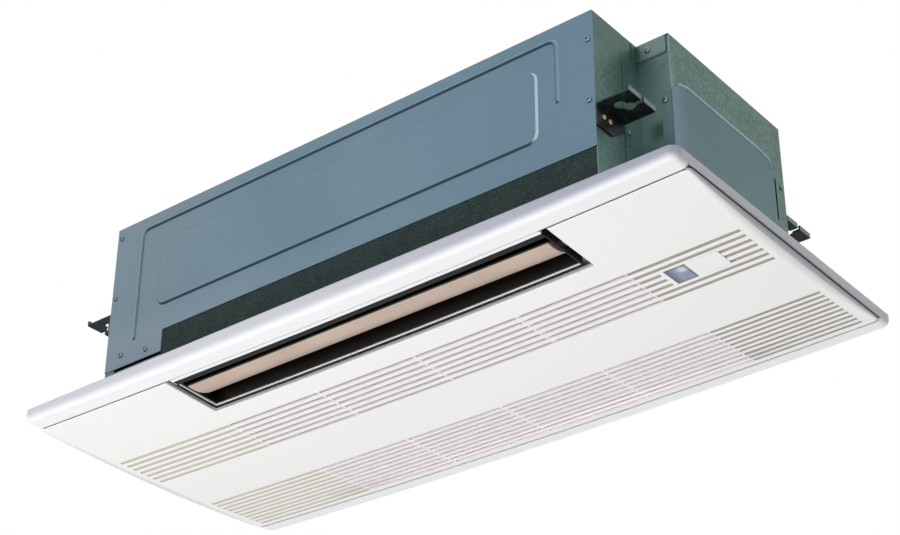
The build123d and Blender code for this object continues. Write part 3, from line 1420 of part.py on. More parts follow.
def screw_holes(seats):
    """Clearance holes for sheet metal screws, through whatever they fasten."""
    for seat in seats:
        with Locations(seat.location):
            Cylinder(SCREW_HOLE_RADIUS, 2 * SCREW_LENGTH + 2, mode=Mode.SUBTRACT)


# ---------------------------------------------------------------- casing sheets
flange_level = FRONT_SLOT_TOP + INSULATION_LAP
inner_front = body_front + SHEET
inner_rear = body_rear - SHEET
inner_top = BODY_HEIGHT - SHEET

with BuildPart() as front_plate:
    block(body_left, body_right, body_front, inner_front, FRONT_SLOT_TOP, inner_top)
    block(body_left, FRONT_SLOT_LEFT, body_front, inner_front, FRONT_LOW_EDGE, FRONT_SLOT_TOP)
    # pressed bead, an arch whose right leg is shorter
    with BuildSketch(Plane.XZ.offset(-body_front)):
        with Locations(((BEAD_LEFT + BEAD_RIGHT) / 2, BEAD_TOP / 2)):
            RectangleRounded(
                BEAD_RIGHT - BEAD_LEFT + BEAD_WIDTH, BEAD_TOP + BEAD_WIDTH, 2 * BEAD_WIDTH
            )
            RectangleRounded(
                BEAD_RIGHT - BEAD_LEFT - BEAD_WIDTH,
                BEAD_TOP - BEAD_WIDTH,
                BEAD_WIDTH,
                mode=Mode.SUBTRACT,
            )
        with Locations((BODY_CENTRE_X - BODY_LENGTH / 4, BEAD_LEFT_FOOT / 2 - 10)):
            Rectangle(BODY_LENGTH / 2, BEAD_LEFT_FOOT + 20, mode=Mode.SUBTRACT)
        with Locations((BODY_CENTRE_X + BODY_LENGTH / 4, BEAD_RIGHT_FOOT / 2 - 10)):
            Rectangle(BODY_LENGTH / 2, BEAD_RIGHT_FOOT + 20, mode=Mode.SUBTRACT)
    extrude(amount=BEAD_HEIGHT)
    # raised field with a hollow back
    with BuildSketch(Plane.XZ.offset(-body_front)):
        with Locations(((FIELD_LEFT + FIELD_RIGHT) / 2, (FIELD_BOTTOM + FIELD_TOP) / 2)):
            RectangleRounded(FIELD_RIGHT - FIELD_LEFT, FIELD_TOP - FIELD_BOTTOM, FIELD_CORNER)
    extrude(amount=FIELD_HEIGHT)
    with BuildSketch(Plane.XZ.offset(-inner_front)):
        with Locations(((FIELD_LEFT + FIELD_RIGHT) / 2, (FIELD_BOTTOM + FIELD_TOP) / 2)):
            RectangleRounded(
                FIELD_RIGHT - FIELD_LEFT - 2 * SHEET,
                FIELD_TOP - FIELD_BOTTOM - 2 * SHEET,
                FIELD_CORNER - SHEET,
            )
    extrude(amount=FIELD_HEIGHT, mode=Mode.SUBTRACT)
    screw_holes(front_screws)
save(front_plate.part, "front_plate")

with BuildPart() as front_insulation:
    block(FRONT_SLOT_LEFT, body_right - SHEET, inner_front, foam_back, DUCT_BOTTOM, flange_level)
save(front_insulation.part, "front_insulation")

with BuildPart() as rear_plate:
    block(body_left, body_right, inner_rear, body_rear, 0, inner_top)
    screw_holes(rear_screws)
save(rear_plate.part, "rear_plate")

with BuildPart() as left_end_plate:
    block(body_left, body_left + SHEET, inner_front, inner_rear, 0, inner_top)
    block(body_left + SHEET, body_left + BOTTOM_FLANGE, inner_front, inner_rear, 0, SHEET)
    # flanges behind the front and rear plates, and the foot below the front plate
    block(
        body_left + SHEET,
        body_left + EDGE_FLANGE,
        inner_front,
        inner_front + SHEET,
        SHEET,
        inner_top,
    )
    block(
        body_left + EDGE_FLANGE,
        FRONT_SLOT_LEFT,
        inner_front,
        inner_front + SHEET,
        0,
        FOOT_HEIGHT,
    )
    block(
        body_left + EDGE_FLANGE,
        FRONT_SLOT_LEFT,
        inner_front,
        inner_front + SHEET,
        FRONT_LOW_EDGE,
        flange_level,
    )
    block(
        body_left + SHEET, body_left + EDGE_FLANGE, inner_rear - SHEET, inner_rear, SHEET, inner_top
    )
    for y, z, radius in [
        (GAS_EXIT_Y, GAS_EXIT_Z, GAS_PIPE_RADIUS + PIPE_HOLE_MARGIN),
        (LIQUID_EXIT_Y, LIQUID_EXIT_Z, LIQUID_PIPE_RADIUS + PIPE_HOLE_MARGIN),
        (hose_rise_y, DRAIN_EXIT_Z, SOCKET_RADIUS + FIT),
    ]:
        with Locations(Location((body_left, y, z), (0, 90, 0))):
            Cylinder(radius, 4 * SHEET, mode=Mode.SUBTRACT)
    with Locations(*panel_screw_spots):
        Cylinder(PANEL_SCREW_HOLE, 4 * SHEET, mode=Mode.SUBTRACT)
    screw_holes(front_screws)
    screw_holes(rear_screws)
    screw_holes(bracket_screw_seats)
save(left_end_plate.part, "left_end_plate")

WIRE_HOLE = 60.0
with BuildPart() as right_end_plate:
    block(body_right - SHEET, body_right, inner_front, inner_rear, 0, inner_top)
    block(body_right - BOTTOM_FLANGE, body_right - SHEET, inner_front, inner_rear, 0, SHEET)
    block(
        body_right - EDGE_FLANGE,
        body_right - SHEET,
        inner_front,
        inner_front + SHEET,
        flange_level,
        inner_top,
    )
    block(
        body_right - EDGE_FLANGE,
        body_right - SHEET,
        inner_rear - SHEET,
        inner_rear,
        SHEET,
        inner_top,
    )
    # the wires of the motor and the pump pass into the control box here
    block(
        body_right - SHEET - 1,
        body_right + 1,
        0,
        WIRE_HOLE,
        BODY_HEIGHT - WIRE_HOLE,
        BODY_HEIGHT - 20,
        mode=Mode.SUBTRACT,
    )
    with Locations(*panel_screw_spots):
        Cylinder(PANEL_SCREW_HOLE, 4 * SHEET, mode=Mode.SUBTRACT)
    screw_holes(front_screws)
    screw_holes(rear_screws)
    screw_holes(flange_screws)
    screw_holes(bracket_screw_seats)
save(right_end_plate.part, "right_end_plate")

with BuildPart() as top_plate:
    block(body_left, body_right, body_front, body_rear, inner_top, BODY_HEIGHT)
    block(body_right, step_end, STEP_FRONT - SHEET, STEP_REAR, inner_top, BODY_HEIGHT)
    # a flap folded down over the front of the control box
    with BuildSketch(Plane.XZ.offset(-STEP_FRONT)):
        with Locations(((body_right + step_end - 3) / 2, BODY_HEIGHT - FLAP_HEIGHT / 2 - SHEET / 2)):
            RectangleRounded(STEP_REACH - 5, FLAP_HEIGHT + SHEET, 3)
    extrude(amount=SHEET)
    screw_holes([flap_screw])
save(top_plate.part, "top_plate")

# ---------------------------------------------------------------- control box on the right end
FLANGE_NOTCH_X = 19.0
COVER_LEVEL = 195.0
COVER_BOTTOM = 4.0
COVER_REAR = 117.0
SLIT_WIDTH = 4.5
SLIT_BOTTOM = 110.0
SLIT_TOP = 169.0
with BuildPart() as control_box:
    block(body_right, step_end, STEP_FRONT, STEP_FRONT + SHEET, 0, inner_top)
    block(body_right, step_end, STEP_REAR - SHEET, STEP_REAR, 0, inner_top)
    block(body_right, step_end, STEP_FRONT + SHEET, STEP_REAR - SHEET, 0, SHEET)
    block(step_end - SHEET, step_end, STEP_FRONT + SHEET, STEP_REAR - SHEET, SHEET, inner_top)
    # opening behind the cover
    block(
        step_end - SHEET - 1,
        step_end + 1,
        STEP_FRONT + 20,
        COVER_REAR - 18,
        24,
        COVER_LEVEL - 24,
        mode=Mode.SUBTRACT,
    )
    # flanges that lie on the end plate, the front one cut back near the top
    with BuildSketch(Plane.YZ.offset(body_right)):
        with Locations((STEP_FRONT - STEP_FLANGE / 2, inner_top / 2)):
            Rectangle(STEP_FLANGE, inner_top)
        with Locations((STEP_FRONT - STEP_FLANGE + 7, inner_top)):
            RectangleRounded(2 * FLANGE_NOTCH_X - 8, 2 * 40, 12, mode=Mode.SUBTRACT)
        with Locations((STEP_REAR + STEP_FLANGE / 2, inner_top / 2)):
            Rectangle(STEP_FLANGE, inner_top)
    extrude(amount=SHEET)
    # the rear flange makes room for the rear bracket
    block(
        body_right - 1,
        body_right + SHEET + 1,
        body_rear - BRACKET_WIDTH - 1,
        body_rear,
        BRACKET_LEVEL - BRACKET_DROP - 1,
        BRACKET_LEVEL + BRACKET_LIP + 1,
        mode=Mode.SUBTRACT,
    )
    # a narrow slit just behind the cover
    block(
        step_end - SHEET - 1,
        step_end + 1,
        COVER_REAR,
        COVER_REAR + SLIT_WIDTH,
        SLIT_BOTTOM,
        SLIT_TOP,
        mode=Mode.SUBTRACT,
    )
    screw_holes(flange_screws)
    screw_holes(cover_end_screws)
    screw_holes([flap_screw, cover_front_screw, box_end_screw])
save(control_box.part, "control_box")

COVER_LIP = 14.0
with BuildPart() as control_cover:
    with BuildSketch(Plane.YZ.offset(step_end)):
        with BuildLine():
            Polyline(
                (STEP_FRONT - SHEET, COVER_BOTTOM),
                (STEP_FRONT - SHEET, COVER_LIP_TOP),
                (STEP_FRONT + 16, COVER_LEVEL - 6),
                (STEP_FRONT + 33, COVER_LEVEL),
                (COVER_REAR - 28, COVER_LEVEL),
                (COVER_REAR - 6, COVER_LEVEL - 3),
                (COVER_REAR, COVER_LEVEL - 20),
                (COVER_REAR, COVER_BOTTOM),
                close=True,
            )
        make_face()
    extrude(amount=COVER_PROUD)
    block(
        step_end - COVER_LIP,
        step_end,
        STEP_FRONT - SHEET,
        STEP_FRONT,
        COVER_BOTTOM,
        COVER_LIP_TOP,
    )
    screw_holes(cover_end_screws)
    screw_holes([cover_front_screw])
save(control_cover.part, "control_cover")

BOARD_STANDOFF = 8.0
with BuildPart() as control_board:
    board_x = body_right + BOARD_STANDOFF
    block(board_x, board_x + 1.6, -90, 20, 40, 180)
    for y in (-84, 14):
        for z in (46, 174):
            with Locations(Location((body_right + BOARD_STANDOFF / 2, y, z), (0, 90, 0))):
                Cylinder(3, BOARD_STANDOFF)
    # capacitors, relays and connectors on the board
    for y, z in [(-70, 70), (-70, 96), (-44, 70)]:
        with Locations(Location((board_x + 11, y, z), (0, 90, 0))):
            Cylinder(9, 20)
    for z in (120, 142, 164):
        block(board_x, board_x + 14, -80, -60, z, z + 14)
    block(board_x, board_x + 10, -20, 10, 60, 72)
    block(board_x, board_x + 10, -20, 10, 150, 162)
save(control_board.part, "control_board")

with BuildPart() as transformer:
    block(body_right + 6, body_right + 34, 40, 84, SHEET, SHEET + 36)
    block(body_right + 2, body_right + 38, 50, 74, SHEET + 6, SHEET + 30)
save(transformer.part, "transformer")

TERMINAL_COUNT = 6
with BuildPart() as terminal_block:
    block(body_right, body_right + 16, 86, 130, 60, 150)
    for i in range(TERMINAL_COUNT):
        terminal_z = 60 + (i + 0.5) * 90 / TERMINAL_COUNT
        block(
            body_right + 10, body_right + 17, 92, 124, terminal_z - 5, terminal_z + 5, mode=Mode.SUBTRACT
        )
save(terminal_block.part, "terminal_block")

# ---------------------------------------------------------------- suspension brackets
rod_x = ROD_SPACING_X / 2
rod_y = ROD_SPACING_Y / 2

def bracket(side_name, end_x, direction, rod_plan_x, side_y):
    """One bracket: a shelf with a hole for the rod, a notched hole beside it, a lip and a flange."""
    y_outer = side_y * body_rear
    y_inner = side_y * (body_rear - BRACKET_WIDTH)
    y_low, y_high = sorted((y_outer, y_inner))
    x_tip = end_x + direction * BRACKET_REACH
    x_low, x_high = sorted((end_x, x_tip))
    hole_y = side_y * rod_y
    with BuildPart() as shelf:
        block(x_low, x_high, y_low, y_high, BRACKET_LEVEL, BRACKET_LEVEL + BRACKET_THICKNESS)
        lip_inner = x_tip - direction * BRACKET_THICKNESS
        lip_low, lip_high = sorted((x_tip, lip_inner))
        block(lip_low, lip_high, y_low, y_high, BRACKET_LEVEL, BRACKET_LEVEL + BRACKET_LIP)
        flange_inner = end_x + direction * BRACKET_THICKNESS
        flange_low, flange_high = sorted((end_x, flange_inner))
        with BuildSketch(Plane.YZ.offset(flange_low)):
            with BuildLine():
                Polyline(
                    (y_outer, BRACKET_LEVEL),
                    (y_inner, BRACKET_LEVEL),
                    (y_inner, BRACKET_LEVEL - BRACKET_DROP * 0.4),
                    (y_inner + side_y * BRACKET_WIDTH * 0.45, BRACKET_LEVEL - BRACKET_DROP),
                    (y_outer, BRACKET_LEVEL - BRACKET_DROP),
                    close=True,
                )
            make_face()
        extrude(amount=BRACKET_THICKNESS)
        notch_x = rod_plan_x + direction * NOTCH_HOLE_STEP_X
        notch_y = hole_y - side_y * NOTCH_HOLE_STEP_Y
        with Locations((rod_plan_x, hole_y, BRACKET_LEVEL), (notch_x, notch_y, BRACKET_LEVEL)):
            Cylinder(ROD_HOLE_RADIUS, 4 * BRACKET_THICKNESS, mode=Mode.SUBTRACT)
        notch_low, notch_high = sorted((notch_x, x_tip + direction))
        block(
            notch_low,
            notch_high,
            notch_y - ROD_NOTCH / 2,
            notch_y + ROD_NOTCH / 2,
            BRACKET_LEVEL - 1,
            BRACKET_LEVEL + BRACKET_LIP + 1,
            mode=Mode.SUBTRACT,
        )
        screw_holes([seat for seat in bracket_screw_seats if abs(seat.origin.Y - hole_y) < BRACKET_WIDTH])
    save(shelf.part, "bracket_" + side_name)


bracket("front_left", body_left, -1, BODY_CENTRE_X - rod_x, -1)
bracket("rear_left", body_left, -1, BODY_CENTRE_X - rod_x, 1)
bracket("front_right", body_right, 1, BODY_CENTRE_X + rod_x, -1)
bracket("rear_right", body_right, 1, BODY_CENTRE_X + rod_x, 1)

with BuildPart() as bracket_screws:
    with BuildSketch(*bracket_screw_seats):
        Circle(SCREW_HEAD_RADIUS)
    extrude(amount=SCREW_HEAD_HEIGHT)
    with BuildSketch(*bracket_screw_seats):
        Circle(SCREW_SHANK_RADIUS)
    extrude(amount=-SCREW_LENGTH)
save(bracket_screws.part, "bracket_screws")

PANEL_SCREW_HEAD = 5.0
with BuildPart() as panel_screws:
    with BuildSketch(Plane.XY.offset(-PANEL_BASE - 3)):
        with Locations(*panel_screw_spots):
            Circle(PANEL_SCREW_HEAD)
    extrude(amount=3)
    with BuildSketch(Plane.XY.offset(-PANEL_BASE)):
        with Locations(*panel_screw_spots):
            Circle(PANEL_SCREW_HOLE - 0.1)
    extrude(amount=PANEL_BASE + 8)
save(panel_screws.part, "panel_screws")
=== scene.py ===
import json
import math

import bmesh
import bpy
from mathutils import Matrix, Vector


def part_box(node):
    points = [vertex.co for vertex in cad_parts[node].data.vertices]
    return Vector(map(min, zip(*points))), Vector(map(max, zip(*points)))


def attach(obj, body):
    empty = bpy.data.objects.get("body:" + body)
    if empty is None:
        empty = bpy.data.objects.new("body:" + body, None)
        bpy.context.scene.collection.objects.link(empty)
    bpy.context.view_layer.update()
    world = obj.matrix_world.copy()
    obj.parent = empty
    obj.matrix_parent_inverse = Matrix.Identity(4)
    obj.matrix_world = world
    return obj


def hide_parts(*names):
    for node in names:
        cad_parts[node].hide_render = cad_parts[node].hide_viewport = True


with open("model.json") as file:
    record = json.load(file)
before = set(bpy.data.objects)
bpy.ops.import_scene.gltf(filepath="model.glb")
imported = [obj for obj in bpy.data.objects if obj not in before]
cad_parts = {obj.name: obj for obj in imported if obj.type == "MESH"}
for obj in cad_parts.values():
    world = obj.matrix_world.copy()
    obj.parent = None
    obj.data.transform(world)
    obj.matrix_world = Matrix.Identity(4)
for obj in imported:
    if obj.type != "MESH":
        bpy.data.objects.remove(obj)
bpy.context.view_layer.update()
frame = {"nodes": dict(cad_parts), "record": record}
MM = 0.001

# ---------------------------------------------------------------- places on the CAD model
# the panel's underside is a dome: its depth, the place of its crest and its two radii
DOME_DEPTH = 0.029
DOME_CREST_Y = -0.01565
DOME_RADIUS_Y = 3.070
DOME_RADIUS_X = 19.004
PANEL_END = 0.5
GROOVE_DEPTH = 0.0012
BAND_START = -84 * MM
OUTLET_LEFT, OUTLET_FRONT = -255 * MM, -194.5 * MM
OUTLET_RIGHT, OUTLET_REAR = 305 * MM, -127.2 * MM
# the casing, and the step on its right end with a flap of the top plate and a slit
body_low, body_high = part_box("rear_plate")
BODY_MIDDLE = (body_low[0] + body_high[0]) / 2
BODY_HALF = (body_high[0] - body_low[0]) / 2
BODY_RIGHT = body_high[0]
BODY_REAR = body_high[1]
BODY_FRONT = -BODY_REAR
BODY_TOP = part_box("top_plate")[1][2]
STEP_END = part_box("control_box")[1][0]
STEP_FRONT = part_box("control_cover")[0][1] + MM
STEP_REAR = 141.5 * MM
FLAP_LOW = BODY_TOP - 24 * MM
FLAP_RIGHT = STEP_END - 3.5 * MM
SLIT_FRONT, SLIT_REAR = 116.8 * MM, 121.8 * MM
SLIT_LOW, SLIT_HIGH = 109.8 * MM, 169.2 * MM


# ---------------------------------------------------------------- node helpers
class Shader:
    """A material under construction, with short names for the nodes it needs."""

    def __init__(self, name, roughness=0.5, metallic=0.0, coat=0.0, specular=0.5, edge=0.0):
        self.edge = edge
        self.material = bpy.data.materials.new(name)
        self.material.use_nodes = True
        self.tree = self.material.node_tree
        self.bsdf = self.tree.nodes["Principled BSDF"]
        self.set(self.bsdf, "Roughness", roughness)
        self.set(self.bsdf, "Metallic", metallic)
        self.set(self.bsdf, "Coat Weight", coat)
        self.set(self.bsdf, "Specular IOR Level", specular)
        source = self.tree.nodes.new("ShaderNodeTexCoord")
        self.place = source.outputs["Object"]
        self.facing = source.outputs["Normal"]

    def set(self, node, name, value):
        node.inputs[name].default_value = value

    def link(self, source, target):
        self.tree.links.new(source, target)

    def feed(self, target, value):
        """Link a node's output to a socket, or write a plain value into it."""
        if isinstance(value, bpy.types.NodeSocket):
            self.link(value, target)
        else:
            target.default_value = value

    def node(self, kind, **inputs):
        made = self.tree.nodes.new(kind)
        for name, value in inputs.items():
            self.feed(made.inputs[name], value)
        return made

    # textures and colours
    def stretched(self, stretch):
        if stretch == (1, 1, 1):
            return self.place
        made = self.node("ShaderNodeMapping", Vector=self.place)
        self.set(made, "Scale", stretch)
        return made.outputs["Vector"]

    def noise(self, scale, detail=3.0, roughness=0.55, stretch=(1, 1, 1)):
        place = self.stretched(stretch)
        made = self.node("ShaderNodeTexNoise", Vector=place, Scale=scale, Detail=detail, Roughness=roughness)
        return made.outputs["Fac"]

    def cells(self, scale):
        """A random colour for each small cell, and the distance to the cell's middle."""
        made = self.node("ShaderNodeTexVoronoi", Vector=self.place, Scale=scale)
        return made.outputs["Color"], made.outputs["Distance"]

    def ramp(self, factor, stops):
        made = self.node("ShaderNodeValToRGB", Fac=factor)
        ramp = made.color_ramp
        while len(ramp.elements) < len(stops):
            ramp.elements.new(0.5)
        for element, (place, colour) in zip(ramp.elements, stops):
            element.position = place
            element.color = (*colour, 1)
        return made.outputs["Color"]

    def mix(self, factor, a, b):
        """Colour a where the factor is zero, and b where it is one."""
        made = self.tree.nodes.new("ShaderNodeMix")
        made.data_type = "RGBA"
        for name, value in (("Factor", factor), ("A", a), ("B", b)):
            target = [s for s in made.inputs if s.name == name and s.enabled][0]
            self.feed(target, (*value, 1) if isinstance(value, tuple) else value)
        return [s for s in made.outputs if s.enabled][0]

    # sums and masks
    def maths(self, operation, a, b=None, clamp=False):
        made = self.tree.nodes.new("ShaderNodeMath")
        made.operation = operation
        made.use_clamp = clamp
        for target, value in zip(made.inputs, (a, b)):
            if value is not None:
                self.feed(target, value)
        return made.outputs[0]

    def times(self, a, b):
        return self.maths("MULTIPLY", a, b)

    def above(self, value, limit):
        return self.maths("GREATER_THAN", value, limit)

    def below(self, value, limit):
        return self.maths("LESS_THAN", value, limit)

    def squared(self, value):
        return self.maths("POWER", self.maths("ABSOLUTE", value), 2.0)

    def apart(self, value, place):
        """The distance of a value from a place."""
        return self.maths("ABSOLUTE", self.maths("SUBTRACT", value, place))

    def flipped(self, mask):
        return self.maths("SUBTRACT", 1.0, mask)

    def fading(self, gap, reach):
        """One at no distance, and zero a reach away."""
        return self.maths("SUBTRACT", 1.0, self.maths("DIVIDE", gap, reach), clamp=True)

    def within(self, value, low, high):
        """One where a value lies between two limits."""
        return self.times(self.above(value, low), self.below(value, high))

    def any_of(self, *parts):
        """One where any of the parts is one."""
        made = 0.0
        for part in parts:
            made = self.maths("MAXIMUM", made, part)
        return made

    def all_of(self, *parts):
        """One where all of the parts are one."""
        made = 1.0
        for part in parts:
            made = self.times(made, part)
        return made

    def rectangle(self, x, y, across, along):
        """One inside a rectangle of the plan."""
        return self.all_of(self.within(x, *across), self.within(y, *along))

    def eased(self, value, start, end):
        """Zero before start and one after end, along a value."""
        made = self.node("ShaderNodeMapRange", Value=value)
        made.interpolation_type = "SMOOTHSTEP"
        self.set(made, "From Min", start)
        self.set(made, "From Max", end)
        return made.outputs["Result"]

    def outline(self, u, v, low, high, corner, reach):
        """One on the outline of a rounded rectangle, and zero a reach away from it."""
        outside = []
        for value, a, b in ((u, low[0], high[0]), (v, low[1], high[1])):
            outside.append(self.maths("SUBTRACT", self.apart(value, (a + b) / 2), (b - a) / 2 - corner))
        squares = [self.maths("POWER", self.maths("MAXIMUM", value, 0.0), 2.0) for value in outside]
        around = self.maths("SQRT", self.maths("ADD", *squares))
        inside = self.maths("MINIMUM", self.maths("MAXIMUM", *outside), 0.0)
        return self.fading(self.apart(self.maths("ADD", around, inside), corner), reach)

    # the piece's own axes and facing
    def axes(self):
        split = self.node("ShaderNodeSeparateXYZ", Vector=self.place)
        return split.outputs["X"], split.outputs["Y"], split.outputs["Z"]

    def facings(self):
        """The parts of the surface's own direction, which turns with its piece."""
        split = self.node("ShaderNodeSeparateXYZ", Vector=self.facing)
        return {axis: split.outputs[axis.upper()] for axis in "xyz"}

    def not_up(self):
        """One where the surface faces down or sideways."""
        return self.below(self.facings()["z"], 0.5)

    # the shader's own sockets
    def colour(self, source):
        self.link(source, self.bsdf.inputs["Base Color"])

    def rough(self, source, first, second):
        """Roughness from first to second as the source rises."""
        self.link(self.ramp(source, [(0.3, (first,) * 3), (0.7, (second,) * 3)]), self.bsdf.inputs["Roughness"])

    def bump(self, height, strength, distance):
        made = self.node("ShaderNodeBump", Height=height, Strength=strength, Distance=distance)
        if self.edge:
            rounding = self.tree.nodes.new("ShaderNodeBevel")
            rounding.samples = 4
            self.set(rounding, "Radius", self.edge)
            self.link(rounding.outputs["Normal"], made.inputs["Normal"])
        self.link(made.outputs["Normal"], self.bsdf.inputs["Normal"])


def srgb(r, g, b):
    """Linear colour of an 8-bit display colour."""

    def one(value):
        value /= 255
        return value / 12.92 if value <= 0.04045 else ((value + 0.055) / 1.055) ** 2.4

    return (one(r), one(g), one(b))


def shaded(colour, share):
    """A colour made darker by a share."""
    return tuple(c * (1 - share) for c in colour)


# ---------------------------------------------------------------- white plastic of the panel
BLACK, WHITE = (0, 0, 0), (1, 1, 1)
WALL = 0.7 * MM
CRESCENT_HALF = 0.2
CRESCENT_WIDTH = 11 * MM
OUTLET_SHADE_REACH = 8 * MM
RECESS_RING = 9 * MM
RECESS_GAP = 1.5 * MM


def white_plastic(name, base, edge):
    """A shader, its faintly clouded white, the height above the domed underside and the plan place."""
    shader = Shader(name, roughness=0.42, specular=0.4, edge=edge)
    white = shader.ramp(shader.noise(3.0, 2.0), [(0.3, base), (0.7, tuple(c * 0.985 for c in base))])
    x, y, z = shader.axes()
    across = shader.maths("DIVIDE", shader.squared(shader.maths("ADD", y, -DOME_CREST_Y)), 2 * DOME_RADIUS_Y)
    along = shader.maths("DIVIDE", shader.squared(x), 2 * DOME_RADIUS_X)
    skin = shader.maths("ADD", shader.maths("ADD", across, along), -DOME_DEPTH)
    return shader, white, shader.maths("SUBTRACT", z, skin), x, y


def white_finish(shader, colour):
    shader.colour(colour)
    fine = shader.noise(900.0, 2.0)
    shader.rough(fine, 0.36, 0.46)
    shader.bump(fine, 0.08, 0.0002)
    return shader.material


def board_skin(name, base):
    """The grille board: beige-grey painted shade in its blind grooves, a rosy tint in its open ones, and
    painted shade on its side walls and along both ends.
    """
    shader, colour, depth, x, y = white_plastic(name, base, edge=1.2 * MM)
    low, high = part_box("intake_grille")
    open_low, open_high = (corner[0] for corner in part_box("filter_net"))
    in_groove = shader.maths("DIVIDE", depth, GROOVE_DEPTH, clamp=True)
    # painted shade in the blind grooves: beige-grey, darker to the right; the walls of the open grooves take a
    # pale rosy tint
    blind = shader.mix(shader.eased(x, -0.3, 0.36), srgb(208, 200, 184), srgb(172, 164, 158))
    tint = shader.mix(shader.within(x, open_low, open_high), blind, srgb(253, 243, 247))
    banded = shader.all_of(
        shader.ramp(in_groove, [(0.25, BLACK), (0.8, WHITE)]),
        shader.above(y, BAND_START),
        shader.within(x, low[0] + 8 * MM, high[0] - 8 * MM),
        shader.not_up(),
    )
    colour = shader.mix(banded, colour, tint)
    # painted shade on the board's side walls, darker with height above the skin, where they face the gap under
    # the rim
    walls = shader.any_of(shader.below(y, low[1] + WALL), shader.above(y, high[1] - WALL))
    side_wall_shade = shader.all_of(walls, shader.eased(depth, 0.6 * MM, 1.4 * MM))
    colour = shader.mix(side_wall_shade, colour, srgb(44, 46, 50))
    # painted shade on the board's end walls
    ends = shader.any_of(shader.below(x, low[0] + WALL), shader.above(x, high[0] - WALL))
    end_wall_shade = shader.all_of(ends, shader.eased(depth, 0.3 * MM, 6 * MM))
    # painted shade: a soft crescent along each end, widest at the middle of the board
    bow = shader.squared(shader.maths("DIVIDE", y, CRESCENT_HALF))
    reach = shader.times(shader.maths("SUBTRACT", 1.0, bow, clamp=True), CRESCENT_WIDTH)
    inward = shader.maths("SUBTRACT", high[0] - MM, shader.maths("ABSOLUTE", x))
    crescent_shade = shader.flipped(shader.maths("DIVIDE", inward, shader.maths("ADD", reach, MM), clamp=True))
    grey = shader.maths("MAXIMUM", shader.times(end_wall_shade, 0.7), shader.times(crescent_shade, 0.5))
    return white_finish(shader, shader.mix(grey, colour, srgb(176, 175, 186)))


def frame_skin(name, base):
    """The panel's frame: painted shade inside and round its outlet and in a ring behind the board, a lavender
    painted shade on its front rim and a little grey painted shade at its right end.
    """
    shader, colour, depth, x, y = white_plastic(name, base, edge=2.0 * MM)
    low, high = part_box("outlet_liner")
    # painted shade on the frame's faces deep inside the outlet
    near = shader.rectangle(x, y, (low[0] - 0.016, high[0] + 0.016), (low[1] - 0.010, high[1] + 0.016))
    outlet_inside_shade = shader.all_of(near, shader.above(depth, 0.0035))
    # painted shade: dark bands along the edges of the outlet, as if the opening were wider, which leave a thin
    # pale lip at its rear and left
    right, front = OUTLET_RIGHT + OUTLET_SHADE_REACH, OUTLET_FRONT - OUTLET_SHADE_REACH
    edges = (
        ((OUTLET_LEFT - 1.0 * MM, right), (front, OUTLET_FRONT + 0.4 * MM)),
        ((OUTLET_RIGHT - 0.4 * MM, right), (front, OUTLET_REAR + 4 * MM)),
        ((OUTLET_LEFT - 5 * MM, right), (OUTLET_REAR + 0.9 * MM, OUTLET_REAR + OUTLET_SHADE_REACH)),
        ((OUTLET_LEFT - OUTLET_SHADE_REACH, OUTLET_LEFT - 1.1 * MM), (OUTLET_FRONT - 0.2 * MM, OUTLET_REAR + 4 * MM)),
    )
    outlet_edge_shade = [shader.rectangle(x, y, *edge) for edge in edges]
    # painted shade in a ring behind the edge of the board, but not behind the outlet
    low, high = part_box("intake_grille")
    middle, recess = (
        shader.rectangle(x, y, (low[0] + inset, high[0] - inset), (low[1] + inset, high[1] - inset))
        for inset in (RECESS_RING, -RECESS_GAP)
    )
    outlet = shader.all_of(
        shader.within(x, OUTLET_LEFT - RECESS_RING, OUTLET_RIGHT + RECESS_RING),
        shader.below(y, OUTLET_REAR + RECESS_RING),
    )
    board_gap_shade = shader.all_of(recess, shader.flipped(middle), shader.flipped(outlet))
    # all this painted shade falls only on faces that don't face up
    dark = shader.all_of(shader.any_of(outlet_inside_shade, *outlet_edge_shade, board_gap_shade), shader.not_up())
    colour = shader.mix(dark, colour, srgb(26, 28, 29))
    # painted shade: the front rim is lavender, more so to the right, and the right end is a little grey
    rightward = shader.maths("ADD", 0.35, shader.times(shader.eased(x, -0.15, PANEL_END), 0.65))
    front_rim_shade = shader.all_of(shader.eased(depth, -0.5 * MM, 8 * MM), shader.eased(y, -0.219, -0.226))
    colour = shader.mix(shader.all_of(front_rim_shade, rightward), colour, srgb(178, 180, 198))
    outer = shader.eased(x, PANEL_END - 6 * MM, PANEL_END - 0.5 * MM)
    return white_finish(shader, shader.mix(shader.times(outer, 0.6), colour, srgb(196, 197, 206)))


# ---------------------------------------------------------------- zinc coated sheet
FOLD_REACH = 0.0022


